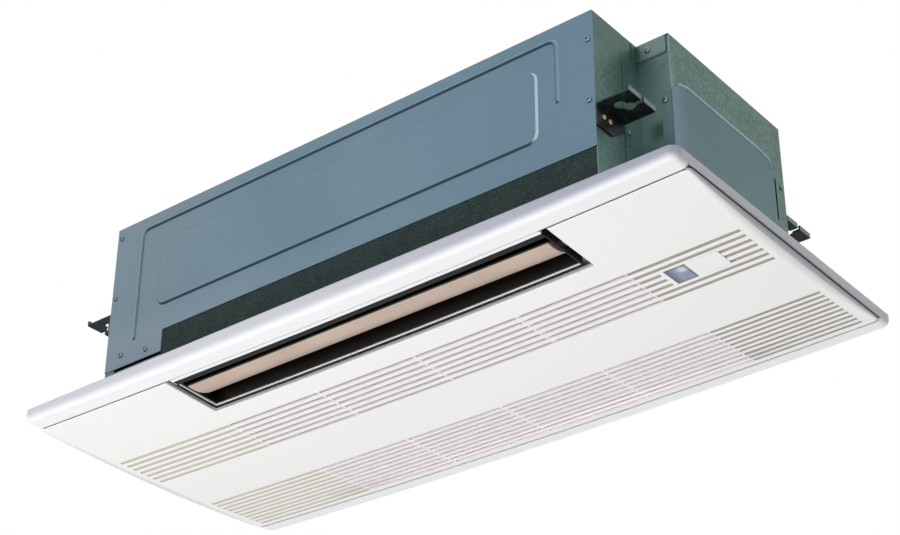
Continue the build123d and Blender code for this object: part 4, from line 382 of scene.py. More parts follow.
def galvanised(name, light, dark, crystal=0.12, folds=(), pale=None, tints=(), lit_and_shaded_flanks=(), shadow_lines=()):
    """Zinc coated sheet: small crystals, faint rolling streaks, soft tone changes that mostly paint light and
    shade, and paler folds.

    tints: (axis, start, end) limits, colour and strength.
    lit_and_shaded_flanks: painted highlights and shade by facing: the facing's axis, start and end, a span of
    x, colour and strength.
    shadow_lines: painted shadow lines: low and high corner, corner radius and width of a line on the step's
    front, colour, strength.
    """
    shader = Shader(name, roughness=0.4, metallic=0.5, specular=0.5)
    patches, _ = shader.cells(260.0)
    tone = shader.node("ShaderNodeSeparateColor", Color=patches).outputs["Red"]
    streak = shader.noise(9.0, 4.0, stretch=(1, 1, 10))
    cloud = shader.noise(4.0, 2.0)
    grain = shader.noise(700.0, 2.0)
    mixed = 0.0
    for source, share in ((tone, crystal), (streak, 0.22), (cloud, 0.66 - crystal), (grain, 0.12)):
        mixed = shader.maths("ADD", mixed, shader.times(source, share))
    colour = shader.ramp(mixed, [(0.34, dark), (0.66, light)])
    places = dict(zip("xyz", shader.axes()))
    for limits, tint, strength in tints:
        share = strength
        for axis, start, end in limits:
            share = shader.times(shader.eased(places[axis], start, end), share)
        colour = shader.mix(share, colour, tint)
    # paler folds: partly wear of the zinc along the bends, partly a painted highlight
    if folds:
        worn = 0.0
        for fold in folds:
            gap = shader.any_of(*(shader.apart(places[axis], place) for axis, place in fold.items()))
            worn = shader.maths("MAXIMUM", worn, shader.fading(gap, FOLD_REACH))
        colour = shader.mix(shader.times(worn, 0.8), colour, pale)
    # painted highlights and shade on sloped flanks, by the way each faces
    facing = shader.facings() if lit_and_shaded_flanks else {}
    for axis, start, end, span, tint, strength in lit_and_shaded_flanks:
        share = shader.all_of(shader.eased(facing[axis], start, end), shader.within(places["x"], *span))
        colour = shader.mix(shader.times(share, strength), colour, tint)
    # painted shadow lines along the given outlines on the step's front
    for low, high, corner, width, tint, strength in shadow_lines:
        line = shader.outline(places["x"], places["z"], low, high, corner, width)
        on_step = shader.within(places["y"], STEP_FRONT - 2.5 * MM, STEP_FRONT + 0.3 * MM)
        colour = shader.mix(shader.times(shader.all_of(line, on_step), strength), colour, tint)
    shader.colour(colour)
    shader.rough(mixed, 0.48, 0.36)
    shader.bump(shader.maths("ADD", tone, grain), 0.04, 0.0002)
    return shader.material


# the colour of the painted shade inside the step and its slit
INSIDE_SHADE = srgb(14, 20, 20)
CASING_MARKS = {
    # folds that are paler, partly from wear and partly from a painted highlight
    "folds": (
        {"x": BODY_RIGHT, "y": BODY_FRONT},
        {"x": STEP_END, "y": STEP_FRONT},
        {"x": BODY_RIGHT, "y": BODY_REAR},
        {"x": STEP_END, "y": STEP_REAR},
        {"x": body_low[0], "y": BODY_REAR},
        {"z": BODY_TOP, "y": BODY_REAR},
    ),
    "pale": srgb(140, 162, 166),
    "tints": (
        # painted shade makes the right end plate darker near its top, and by the step's front lies a painted
        # highlight as a pale patch, with painted shade below it
        ((("z", 0.16, 0.23), ("x", 0.372, 0.378), ("x", 0.388, 0.383)), srgb(66, 98, 90), 0.75),
        (
            (("y", -0.14, -0.12), ("y", -0.09, -0.105), ("z", 0.075, 0.11), ("z", 0.24, 0.17)),
            srgb(120, 146, 142),
            0.75,
        ),
        ((("y", -0.12, -0.107), ("y", -0.09, -0.105), ("z", 0.088, 0.07)), srgb(58, 78, 74), 0.6),
        # painted reflection and shade: a soft dark patch low on the step's front
        (
            (
                ("y", STEP_FRONT + 1.2 * MM, STEP_FRONT + 0.9 * MM),
                ("x", 0.386, 0.404),
                ("x", 0.426, 0.418),
                ("z", 0.106, 0.12),
                ("z", 0.142, 0.128),
            ),
            srgb(38, 60, 56),
            0.75,
        ),
        # painted shade on the inside of the step
        (
            (
                ("x", BODY_RIGHT + 1.5 * MM, BODY_RIGHT + 2.5 * MM),
                ("x", STEP_END - 0.6 * MM, STEP_END - 0.8 * MM),
                ("y", STEP_FRONT + 1.2 * MM, STEP_FRONT + 1.5 * MM),
                ("y", STEP_REAR - 1.2 * MM, STEP_REAR - 1.5 * MM),
                ("z", BODY_TOP - 1.3 * MM, BODY_TOP - 2 * MM),
            ),
            INSIDE_SHADE,
            1.0,
        ),
        # painted shade on the walls of the slit in the step's end
        (
            (
                ("x", STEP_END - 1.2 * MM, STEP_END - 1.1 * MM),
                ("y", SLIT_FRONT, SLIT_FRONT + 0.1 * MM),
                ("y", SLIT_REAR, SLIT_REAR - 0.1 * MM),
                ("z", SLIT_LOW, SLIT_LOW + 0.1 * MM),
                ("z", SLIT_HIGH, SLIT_HIGH - 0.1 * MM),
            ),
            INSIDE_SHADE,
            1.0,
        ),
    ),
    # painted shadow along the lower and right edge of the top plate's flap
    "shadow_lines": (
        ((BODY_RIGHT - 0.02, FLAP_LOW), (FLAP_RIGHT, BODY_TOP + 0.03), 3 * MM, 0.9 * MM, srgb(36, 52, 50), 0.9),
    ),
}


# ---------------------------------------------------------------- other materials
def moulded(name, base, roughness=0.5, grain=600.0, depth=0.1, specular=0.4, spread=0.08):
    """Plain moulded plastic with a fine grain."""
    shader = Shader(name, roughness=roughness, specular=specular)
    shader.colour(shader.ramp(shader.noise(12.0, 3.0), [(0.3, base), (0.7, shaded(base, spread))]))
    fine = shader.noise(grain, 2.0)
    shader.rough(fine, roughness - 0.06, roughness + 0.06)
    shader.bump(fine, depth, 0.0003)
    return shader.material


def vane_skin(name):
    """Beige moulded blade with painted shade: black along its front edge and dark brown along its rear edge."""
    shader = Shader(name, roughness=0.42, specular=0.4, edge=0.6 * MM)
    _, y, _ = shader.axes()
    low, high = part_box("air_vane")
    beige = shader.ramp(shader.noise(12.0, 3.0), [(0.3, srgb(206, 186, 170)), (0.7, srgb(194, 172, 158))])
    # painted shade: dark brown along the rear edge
    beige = shader.mix(shader.eased(y, high[1] - 9 * MM, high[1] - 2 * MM), beige, srgb(70, 52, 42))
    # painted shade: black along the front edge
    shader.colour(shader.mix(shader.below(y, low[1] + 2.2 * MM), beige, srgb(28, 27, 26)))
    fine = shader.noise(600.0, 2.0)
    shader.rough(fine, 0.36, 0.48)
    shader.bump(fine, 0.1, 0.0003)
    return shader.material


def metal(name, base, roughness=0.3, streaks=(1, 1, 1)):
    """Bare or plated metal with fine drawn lines."""
    shader = Shader(name, roughness=roughness, metallic=1.0)
    line = shader.noise(220.0, 3.0, stretch=streaks)
    shader.colour(shader.ramp(line, [(0.3, base), (0.7, shaded(base, 0.15))]))
    shader.rough(line, roughness - 0.07, roughness + 0.1)
    shader.bump(line, 0.08, 0.0002)
    return shader.material


def dark_metal(name):
    """Black painted steel, a little pale along its streaks, with a painted highlight on the sideways faces of
    its outer lips.
    """
    shader = Shader(name, roughness=0.4, metallic=0.3, specular=0.5, edge=0.8 * MM)
    worn = shader.noise(90.0, 5.0, 0.7)
    black = shader.ramp(worn, [(0.45, srgb(20, 27, 28)), (0.75, srgb(56, 66, 68))])
    # painted highlight on the faces at the brackets' outer tips that face sideways
    sideways = shader.eased(shader.maths("ABSOLUTE", shader.facings()["x"]), 0.5, 0.9)
    x, _, _ = shader.axes()
    at_tip = shader.above(shader.apart(x, BODY_MIDDLE), BODY_HALF + 30 * MM)
    lip = shader.times(shader.all_of(sideways, at_tip), 0.75)
    shader.colour(shader.mix(lip, black, srgb(126, 140, 142)))
    shader.rough(worn, 0.32, 0.5)
    shader.bump(worn, 0.12, 0.0003)
    return shader.material


def speckled_foam(name):
    """Dark expanded foam with pale flecks and a beaded surface."""
    shader = Shader(name, roughness=0.85, specular=0.25)
    _, gap = shader.cells(420.0)
    fleck = shader.ramp(shader.noise(800.0, 2.0, 0.7), [(0.54, BLACK), (0.68, WHITE)])
    ground = shader.ramp(shader.noise(30.0, 3.0), [(0.3, srgb(32, 46, 46)), (0.7, srgb(44, 60, 58))])
    shader.colour(shader.mix(shader.times(fleck, 0.5), ground, srgb(120, 142, 136)))
    shader.bump(gap, 0.5, 0.0006)
    return shader.material


NET_PITCH = 0.0022


def net(name):
    """A fine filter net: pale threads over a darker ground."""
    shader = Shader(name, roughness=0.8, specular=0.2)
    x, y, _ = shader.axes()
    threads = [
        shader.below(shader.maths("FRACT", shader.maths("DIVIDE", axis, NET_PITCH)), 0.42) for axis in (x, y)
    ]
    thread = shader.maths("MAXIMUM", *threads)
    pale = shader.ramp(shader.noise(14.0, 2.0), [(0.3, srgb(253, 242, 247)), (0.7, srgb(247, 234, 240))])
    shader.colour(shader.mix(thread, srgb(216, 200, 208), pale))
    shader.bump(thread, 0.3, 0.0003)
    return shader.material


WINDOW_BORDER = 1.6 * MM


def window_glass(name):
    """Smoky receiver window, greyer towards its left, with a painted highlight and a dark frame."""
    shader = Shader(name, roughness=0.14, coat=0.5, specular=0.6)
    x, y, _ = shader.axes()
    low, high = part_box("receiver_window")
    middle = ((low[0] + high[0]) / 2, (low[1] + high[1]) / 2)
    body = shader.ramp(shader.noise(60.0, 3.0), [(0.3, srgb(146, 149, 176)), (0.7, srgb(156, 160, 186))])
    body = shader.mix(shader.eased(x, middle[0] - 2 * MM, low[0] + 2 * MM), body, srgb(116, 126, 136))
    # a painted highlight right of the window's middle and towards its front
    plan_place = shader.node("ShaderNodeCombineXYZ", X=x, Y=y)
    spot = shader.tree.nodes.new("ShaderNodeVectorMath")
    spot.operation = "DISTANCE"
    shader.link(plan_place.outputs["Vector"], spot.inputs[0])
    spot.inputs[1].default_value = (middle[0] + 6 * MM, middle[1] - 8 * MM, 0)
    glow = shader.eased(spot.outputs["Value"], 9 * MM, 1.5 * MM)
    body = shader.mix(shader.times(glow, 0.85), body, srgb(226, 230, 246))
    inner_low = (low[0] + WINDOW_BORDER, low[1] + WINDOW_BORDER)
    inner_high = (high[0] - WINDOW_BORDER, high[1] - WINDOW_BORDER)
    border = shader.outline(x, y, inner_low, inner_high, 0.5 * MM, 1.1 * MM)
    shader.colour(shader.mix(shader.times(border, 0.7), body, srgb(78, 82, 100)))
    return shader.material


def circuit(name):
    """Green circuit board, lighter in small spots."""
    shader = Shader(name, roughness=0.4, specular=0.5)
    _, gap = shader.cells(160.0)
    shader.colour(shader.ramp(gap, [(0.0, srgb(36, 92, 60)), (0.25, srgb(20, 70, 44))]))
    shader.bump(gap, 0.1, 0.0003)
    return shader.material


def fin_stock(name):
    """Bright metal fins with faint lines along the coil."""
    shader = Shader(name, roughness=0.35, metallic=0.9)
    wave = shader.noise(300.0, 2.0, stretch=(0.2, 1, 1))
    shader.colour(shader.ramp(wave, [(0.3, srgb(196, 204, 210)), (0.7, srgb(160, 170, 178))]))
    shader.bump(wave, 0.2, 0.0003)
    return shader.material


# spans of x on the front sheet, for the painted highlights and shade on the slopes of its bead and field
ANYWHERE = (-1, 1)
FIELD_RIGHT_EDGE = (0.29, 0.31)
BEAD_RIGHT_LEG = (0.32, 0.35)
BEAD_LEFT_LEG = (-0.36, -0.33)
PAST_LEFT_LEG = (-0.32, 0.35)

MATERIALS = {
    "white_panel": frame_skin("panel_white", srgb(248, 248, 250)),
    "grooved_panel": board_skin("board_white", srgb(250, 250, 248)),
    "plain_white": moulded("cover_white", srgb(249, 249, 247), roughness=0.42, spread=0.015),
    "window": window_glass("receiver_tint"),
    "black_plastic": moulded("liner_black", srgb(9, 12, 12), roughness=0.4, specular=0.4),
    "vane_plastic": vane_skin("vane_beige"),
    "dark_fan": moulded("fan_black", srgb(30, 30, 32), roughness=0.5),
    "galvanised": galvanised("zinc_sheet", srgb(92, 127, 120), srgb(58, 95, 87), crystal=0.22, **CASING_MARKS),
    "outer_zinc": galvanised("zinc_outer", srgb(118, 140, 138), srgb(100, 124, 122), **CASING_MARKS),
    "front_sheet": galvanised(
        "zinc_front",
        srgb(114, 142, 157),
        srgb(104, 132, 148),
        crystal=0.06,
        # painted light: lighter to the left, darker to the right, paler lavender low on the left
        tints=(
            ((("x", 0.05, 0.34),), srgb(98, 127, 146), 0.75),
            ((("x", -0.1, -0.38),), srgb(122, 142, 154), 0.8),
            ((("z", 0.12, 0.06), ("x", 0.1, -0.3)), srgb(134, 150, 166), 0.7),
        ),
        # painted highlights on slopes that face up, painted shade on slopes that face down, and painted
        # highlights and shade on slopes that face sideways, by span
        lit_and_shaded_flanks=(
            ("z", 0.12, 0.45, ANYWHERE, srgb(136, 160, 174), 0.5),
            ("z", -0.1, -0.4, ANYWHERE, srgb(30, 54, 68), 0.9),
            ("x", 0.15, 0.5, FIELD_RIGHT_EDGE, srgb(208, 216, 230), 0.8),
            ("x", 0.15, 0.5, BEAD_RIGHT_LEG, srgb(138, 162, 180), 0.5),
            ("x", 0.15, 0.5, BEAD_LEFT_LEG, srgb(64, 92, 106), 0.8),
            ("x", -0.15, -0.5, PAST_LEFT_LEG, srgb(60, 86, 102), 0.75),
            ("x", -0.15, -0.5, BEAD_LEFT_LEG, srgb(150, 172, 186), 0.6),
        ),
    ),
    "cover_sheet": galvanised(
        "zinc_cover",
        srgb(80, 116, 121),
        srgb(70, 104, 109),
        crystal=0.06,
        tints=(
            ((("y", -0.07, -0.107), ("x", 0.4235, 0.424)), srgb(104, 134, 150), 0.8),
            ((("x", 0.4232, 0.4228),), srgb(112, 138, 140), 0.7),
        ),
    ),
    # a pale finish that paints the highlight along the cover's rolled rim
    "cover_edge_highlight": galvanised("zinc_edge_highlight", srgb(158, 180, 192), srgb(140, 164, 176), crystal=0.05),
    "black_steel": dark_metal("bracket_black"),
    "steel": metal("bright_steel", srgb(190, 192, 195), streaks=(1, 12, 12)),
    "zinc_screw": metal("screw_zinc", srgb(128, 142, 148), 0.34),
    "yellow_zinc": metal("screw_yellow", srgb(206, 186, 128), 0.26),
    "brass": metal("machined_brass", srgb(200, 160, 90)),
    "copper": metal("drawn_copper", srgb(200, 128, 96), 0.32),
    "fin": fin_stock("fin_stock"),
    "foam": speckled_foam("foam_speckled"),
    "duct_foam": moulded("duct_black", srgb(10, 13, 13), roughness=0.7),
    "white_foam": moulded("pan_white", srgb(226, 226, 222), roughness=0.75, grain=260.0, depth=0.4),
    "grey_plastic": moulded("grey_plastic", srgb(168, 170, 172)),
    "net": net("filter_net"),
    "net_frame": moulded("filter_bar", srgb(252, 242, 246), roughness=0.6),
    "rubber": moulded("black_rubber", srgb(28, 28, 28), roughness=0.75),
    "hose": moulded("grey_hose", srgb(120, 122, 124), roughness=0.6),
    "board_green": circuit("circuit_board"),
}

# nodes whose finish differs from the one that their slot in the record gives
SPECIAL = {
    "intake_grille": "grooved_panel",
    "panel_frame": "white_panel",
    "front_plate": "front_sheet",
    "top_plate": "outer_zinc",
    "left_end_plate": "outer_zinc",
    "control_cover": "cover_sheet",
    "blank_cover": "plain_white",
    "scroll_guide": "duct_foam",
    "stabiliser": "duct_foam",
    "duct_side_left": "duct_foam",
    "duct_side_right": "duct_foam",
    "filter_frame": "net_frame",
}

# ---------------------------------------------------------------- mesh helpers
SHEET = 1.0 * MM
SHARP = math.radians(32)
LEAST_STEP = 0.15 * MM


def finish_piece(name, bm, material, body, slot, *nodes):
    """Turn a bmesh into an object that rides on a body and stands for CAD nodes."""
    mesh = bpy.data.meshes.new(name)
    bm.to_mesh(mesh)
    bm.free()
    for face in mesh.polygons:
        face.use_smooth = True
    mesh.set_sharp_from_angle(angle=SHARP)
    mesh.materials.append(MATERIALS[material])
    piece = bpy.data.objects.new(name, mesh)
    bpy.context.scene.collection.objects.link(piece)
    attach(piece, body)
    if nodes:
        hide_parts(*nodes)


def lines_between(low, high, step, *crowded):
    """Grid lines from low to high, close together round the places in crowded."""
    marks = {low, high}
    count = max(1, round((high - low) / step))
    marks.update(low + (high - low) * i / count for i in range(count + 1))
    for place, reach, fine in crowded:
        steps = round(reach / fine)
        marks.update(place + fine * i for i in range(-steps, steps + 1))
    kept = []
    for mark in sorted(m for m in marks if low - 1e-9 <= m <= high + 1e-9):
        if not kept or mark - kept[-1] > LEAST_STEP or mark in (low, high):
            kept.append(mark)
    return kept


def add_sheet(bm, us, vs, holds, height, place, outward):
    """A pressed sheet on a grid: place(u, v, w) maps it to the frame, w is the pressed height."""
    corners = {}

    def corner(i, j):
        if (i, j) not in corners:
            corners[i, j] = bm.verts.new(place(us[i], vs[j], height(us[i], vs[j])))
        return corners[i, j]

    faces = []
    for i in range(len(us) - 1):
        for j in range(len(vs) - 1):
            if holds((us[i] + us[i + 1]) / 2, (vs[j] + vs[j + 1]) / 2):
                around = (corner(i, j), corner(i + 1, j), corner(i + 1, j + 1), corner(i, j + 1))
                faces.append(bm.faces.new(around))
    bm.normal_update()
    if faces[0].normal.dot(Vector(outward)) < 0:
        bmesh.ops.reverse_faces(bm, faces=faces)
    bmesh.ops.solidify(bm, geom=faces, thickness=SHEET)
    # solidify adds the rim's faces in no fixed order, so all are sorted by place
    placed = sorted(bm.faces, key=lambda face: tuple(face.calc_center_median()))
    ranks = {face: rank for rank, face in enumerate(placed)}
    bm.faces.sort(key=lambda face: ranks[face])


def outline_gap(u, v, low, high, corner):
    """Signed distance to a rounded rectangle, negative inside."""
    du = abs(u - (low[0] + high[0]) / 2) - ((high[0] - low[0]) / 2 - corner)
    dv = abs(v - (low[1] + high[1]) / 2) - ((high[1] - low[1]) / 2 - corner)
    return math.hypot(max(du, 0), max(dv, 0)) + min(max(du, dv), 0) - corner


def smooth_step(value):
    """Zero to one with soft ends."""
    value = min(1, max(0, value))
    return value * value * (3 - 2 * value)


def field_height(u, v, low, high, corner, height, slope):
    """A raised field whose edge slopes up over a short width."""
    return height * smooth_step(-outline_gap(u, v, low, high, corner) / slope)


def bead_height(gap, width, height):
    """A rounded rib, from the distance to its middle line."""
    share = min(1, abs(gap) / (width / 2))
    return height * (1 - share * share) ** 1.5


# ---------------------------------------------------------------- front sheet with its bead and field
BEAD_WIDTH = 6.5 * MM
BEAD_HEIGHT = 1.9 * MM
BEAD_LOW = (-342 * MM, 0.0)
BEAD_HIGH = (330 * MM, 233.5 * MM)
BEAD_CORNER = 12 * MM
BEAD_FEET = (72 * MM, 147 * MM)
FIELD_LOW = (-305 * MM, 103 * MM)
FIELD_HIGH = (303 * MM, 204 * MM)
FIELD_CORNER = 15 * MM
FIELD_HEIGHT = 2.0 * MM
FIELD_SLOPE = 3.2 * MM
FINE_STEP = 0.55 * MM
OPEN_TOP = 67 * MM  # the sheet ends here over the foam band


def front_height(x, z):
    """Pressed forms of the front sheet: an arch of bead round a raised field."""
    foot = BEAD_FEET[0] if x < 0 else BEAD_FEET[1]
    leg_x = BEAD_LOW[0] if x < 0 else BEAD_HIGH[0]
    if z < foot:
        gap = math.hypot(x - leg_x, z - foot)
    else:
        gap = outline_gap(x, z, BEAD_LOW, BEAD_HIGH, BEAD_CORNER)
    bead = bead_height(gap, BEAD_WIDTH, BEAD_HEIGHT)
    return max(bead, field_height(x, z, FIELD_LOW, FIELD_HIGH, FIELD_CORNER, FIELD_HEIGHT, FIELD_SLOPE))


def front_sheet():
    """The front sheet on a grid that is fine along its pressed forms, open over the foam band."""
    low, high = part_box("front_plate")
    foot_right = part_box("front_insulation")[0][0]
    # each crowded place of the grid: where, how far to each side, how fine
    xs = lines_between(
        low[0],
        high[0],
        24 * MM,
        (BEAD_LOW[0], 4.5 * MM, FINE_STEP),
        (BEAD_HIGH[0], 4.5 * MM, FINE_STEP),
        (BEAD_LOW[0] + BEAD_CORNER / 2, 12 * MM, 1.2 * MM),
        (BEAD_HIGH[0] - BEAD_CORNER / 2, 12 * MM, 1.2 * MM),
        (FIELD_LOW[0] + 2 * MM, 3 * MM, FINE_STEP),
        (FIELD_HIGH[0] - 2 * MM, 3 * MM, FINE_STEP),
        (FIELD_LOW[0] + 8 * MM, 8 * MM, MM),
        (FIELD_HIGH[0] - 8 * MM, 8 * MM, MM),
        (foot_right, 0, MM),
    )
    zs = lines_between(
        low[2],
        BODY_TOP - SHEET,
        16 * MM,
        (BEAD_HIGH[1], 4.5 * MM, FINE_STEP),
        (BEAD_HIGH[1] - 8 * MM, 8 * MM, 1.2 * MM),
        (BEAD_FEET[0], 5 * MM, 0.8 * MM),
        (BEAD_FEET[1], 5 * MM, 0.8 * MM),
        (FIELD_LOW[1] + 2 * MM, 3 * MM, FINE_STEP),
        (FIELD_HIGH[1] - 2 * MM, 3 * MM, FINE_STEP),
        (FIELD_LOW[1] + 8 * MM, 8 * MM, MM),
        (FIELD_HIGH[1] - 8 * MM, 8 * MM, MM),
        (OPEN_TOP, 0, MM),
    )
    bm = bmesh.new()
    add_sheet(
        bm,
        xs,
        zs,
        lambda x, z: z > OPEN_TOP or x < foot_right,
        front_height,
        lambda x, z, w: (x, BODY_FRONT - w, z),
        (0, -1, 0),
    )
    finish_piece("pressed_front_sheet", bm, "front_sheet", "unit", "galvanised", "front_plate")


front_sheet()

# ---------------------------------------------------------------- rear sheet
REAR_FIELD_DEPTH = 1.6 * MM
REAR_FIELD_HALF = 0.42  # half a field's length, in thirds of the sheet
REAR_FIELD_FOOT = 42 * MM
REAR_FIELD_HEAD = 38 * MM


def rear_sheet():
    """The wall side sheet, with three shallow fields pressed inwards."""
    low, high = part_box("rear_plate")
    middle = (low[0] + high[0]) / 2
    reach = (high[0] - low[0]) / 3
    fields = [
        (
            (middle + reach * (i - REAR_FIELD_HALF), low[2] + REAR_FIELD_FOOT),
            (middle + reach * (i + REAR_FIELD_HALF), high[2] - REAR_FIELD_HEAD),
        )
        for i in (-1, 0, 1)
    ]

    def height(x, z):
        return -max(field_height(x, z, a, b, FIELD_CORNER, REAR_FIELD_DEPTH, FIELD_SLOPE) for a, b in fields)

    edges = [corner for field in fields for corner in field]
    xs = lines_between(low[0], high[0], 30 * MM, *[(e[0], 14 * MM, 0.9 * MM) for e in edges])
    zs = lines_between(low[2], high[2], 20 * MM, *[(e[1], 14 * MM, 0.9 * MM) for e in edges[:2]])
    bm = bmesh.new()
    add_sheet(bm, xs, zs, lambda x, z: True, height, lambda x, z, w: (x, high[1] + w, z), (0, 1, 0))
    finish_piece("pressed_rear_sheet", bm, "outer_zinc", "unit", "galvanised", "rear_plate")


rear_sheet()

# ---------------------------------------------------------------- control box cover
def rounded_outline(points, radius, steps=5):
    """A polygon's points with each corner turned into a short arc."""
    rounded = []
    count = len(points)
    for i, point in enumerate(points):
        here = Vector(point)
        before = Vector(points[i - 1]) - here
        after = Vector(points[(i + 1) % count]) - here
        reach = min(radius, before.length * 0.45, after.length * 0.45)
        start = here + before.normalized() * reach
        end = here + after.normalized() * reach
        for k in range(steps + 1):
            t = k / steps
            rounded.append((1 - t) ** 2 * start + 2 * t * (1 - t) * here + t**2 * end)
    return rounded


def add_ring(bm, points):
    return [bm.verts.new(p) for p in points]


def bridge_rings(bm, first, second):
    """Faces between two rings of as many vertices."""
    count = len(first)
    for k in range(count):
        n = (k + 1) % count
        bm.faces.new((first[k], first[n], second[n], second[k]))


def inset_outline(points, distance):
    """The outline moved inwards by a distance."""
    middle = sum((Vector(p) for p in points), Vector((0, 0))) / len(points)
    moved = []
    count = len(points)
    for i, point in enumerate(points):
        along = Vector(points[(i + 1) % count]) - Vector(points[i - 1])
        normal = Vector((-along.y, along.x))
        if normal.length < 1e-9:
            moved.append(Vector(point))
            continue
        normal.normalize()
        if normal.dot(middle - Vector(point)) < 0:
            normal = -normal
        moved.append(Vector(point) + normal * distance)
    return moved


COVER_CORNER = 5 * MM
# the rolled rim in section: how far in from the outline, and how far out of the face, in millimetres
COVER_RIM = ((0.0, -1.0), (0.0, -0.45), (0.15, -0.2), (0.45, -0.05), (1.0, 0.0), (3.0, -0.12))
STRIP_HALF = 1.9 * MM
STRIP_STEPS = 10


def folded_cover():
    """A flat sheet whose rim is rolled over, with a lip round the front corner."""
    (inner, front, bottom), (end, rear, level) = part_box("control_cover")
    lip_top = level - 22 * MM
    shape = [
        (front, bottom),
        (front, lip_top),
        (front + 17 * MM, level - 6 * MM),
        (front + 34 * MM, level),
        (rear - 28 * MM, level),
        (rear - 6 * MM, level - 3 * MM),
        (rear, level - 20 * MM),
        (rear, bottom),
    ]
    outline = rounded_outline(shape, COVER_CORNER)
    bm = bmesh.new()
    rings = []
    for inset, out in COVER_RIM:
        rings.append(add_ring(bm, [(end + out * MM, p.x, p.y) for p in inset_outline(outline, inset * MM)]))
    for first, second in zip(rings, rings[1:]):
        bridge_rings(bm, first, second)
    bm.faces.new(rings[-1])
    bm.faces.new(list(reversed(rings[0])))
    lip = [
        (inner, bottom),
        (inner, lip_top - 3 * MM),
        (inner + 3 * MM, lip_top),
        (end - 1.2 * MM, lip_top),
        (end - 1.2 * MM, bottom),
    ]
    outside = add_ring(bm, [(x, front, z) for x, z in lip])
    inside = add_ring(bm, [(x, front + MM, z) for x, z in lip])
    bridge_rings(bm, outside, inside)
    bm.faces.new(outside)
    bm.faces.new(list(reversed(inside)))
    bmesh.ops.recalc_face_normals(bm, faces=bm.faces)
    finish_piece("folded_cover", bm, "cover_sheet", "unit", "galvanised", "control_cover")


def cover_rolled_edge():
    """A half round strip along the top of the cover's rim, thin at both ends, pale as a painted highlight."""
    (_, front, _), (end, rear, level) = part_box("control_cover")
    places = (
        (front + 12 * MM, level - 9.5 * MM),
        (front + 20 * MM, level - 6.5 * MM),
        (front + 34 * MM, level - 2.6 * MM),
        (rear - 28 * MM, level - 2.6 * MM),
        (rear - 9 * MM, level - 5.5 * MM),
        (rear - 4 * MM, level - 12 * MM),
    )
    track = [Vector(place) for place in places]
    bm = bmesh.new()
    previous = None
    for i, point in enumerate(track):
        along = (track[min(i + 1, len(track) - 1)] - track[max(i - 1, 0)]).normalized()
        normal = Vector((-along.y, along.x))
        half = (1.0 if 0 < i < len(track) - 1 else 0.25) * STRIP_HALF
        ring = []
        for k in range(STRIP_STEPS + 1):
            angle = math.pi * k / STRIP_STEPS
            place = point + normal * (math.cos(angle) * half)
            ring.append(bm.verts.new((end - 0.15 * MM + math.sin(angle) * half * 0.45, place.x, place.y)))
        if previous:
            for k in range(STRIP_STEPS):
                bm.faces.new((previous[k], previous[k + 1], ring[k + 1], ring[k]))
            bm.faces.new((previous[0], ring[0], ring[-1], previous[-1]))
        else:
            bm.faces.new(ring)
        previous = ring
    bm.faces.new(list(reversed(previous)))
    bmesh.ops.recalc_face_normals(bm, faces=bm.faces)
    finish_piece("cover_rolled_edge", bm, "cover_edge_highlight", "unit", "galvanised")


folded_cover()
cover_rolled_edge()

# ---------------------------------------------------------------- screws with a cross recess
HEAD_RADIUS = 3.6 * MM
HEAD_HEIGHT = 2.2 * MM
CROSS_HALF = 0.55 * MM
CROSS_REACH = 2.0 * MM
CROSS_DEPTH = 1.3 * MM
# where the recess ends and how wide its slope is, as shares of its arms
CROSS_END = 1.15
CROSS_SLOPE = 0.3
HEAD_BRIM = 0.42  # the brim's share of the head's height
HEAD_BULGE = 0.93
HEAD_RINGS = 11
HEAD_SIDES = 32
SHANK_SHARE = 0.52  # of the head's radius
HEAD_ONLY = 0.6  # share of the head's radius that the shank doesn't reach
TURN_STEP = 0.5  # each recess is turned this much more than the last


def islands(thing):
    """The separate solids of a node, each as the places of its vertices."""
    bm = bmesh.new()
    bm.from_mesh(thing.data)
    bmesh.ops.remove_doubles(bm, verts=bm.verts, dist=1e-6)
    seen = set()
    groups = []
    for start in bm.verts:
        if start in seen:
            continue
        seen.add(start)
        found = [start]
        for vert in found:
            for edge in vert.link_edges:
                other = edge.other_vert(vert)
                if other not in seen:
                    seen.add(other)
                    found.append(other)
        groups.append([vert.co.copy() for vert in found])
    bm.free()
    return sorted(groups, key=lambda group: tuple(round(c, 5) for c in group_middle(group)))


def group_middle(group):
    return sum(group, Vector()) / len(group)


def cross_depth(u, v):
    """Depth of the cross recess at a point of a screw's head."""
    arm = min(max(abs(u) / CROSS_HALF, abs(v) / CROSS_REACH), max(abs(v) / CROSS_HALF, abs(u) / CROSS_REACH))
    return CROSS_DEPTH * smooth_step((CROSS_END - arm) / CROSS_SLOPE)


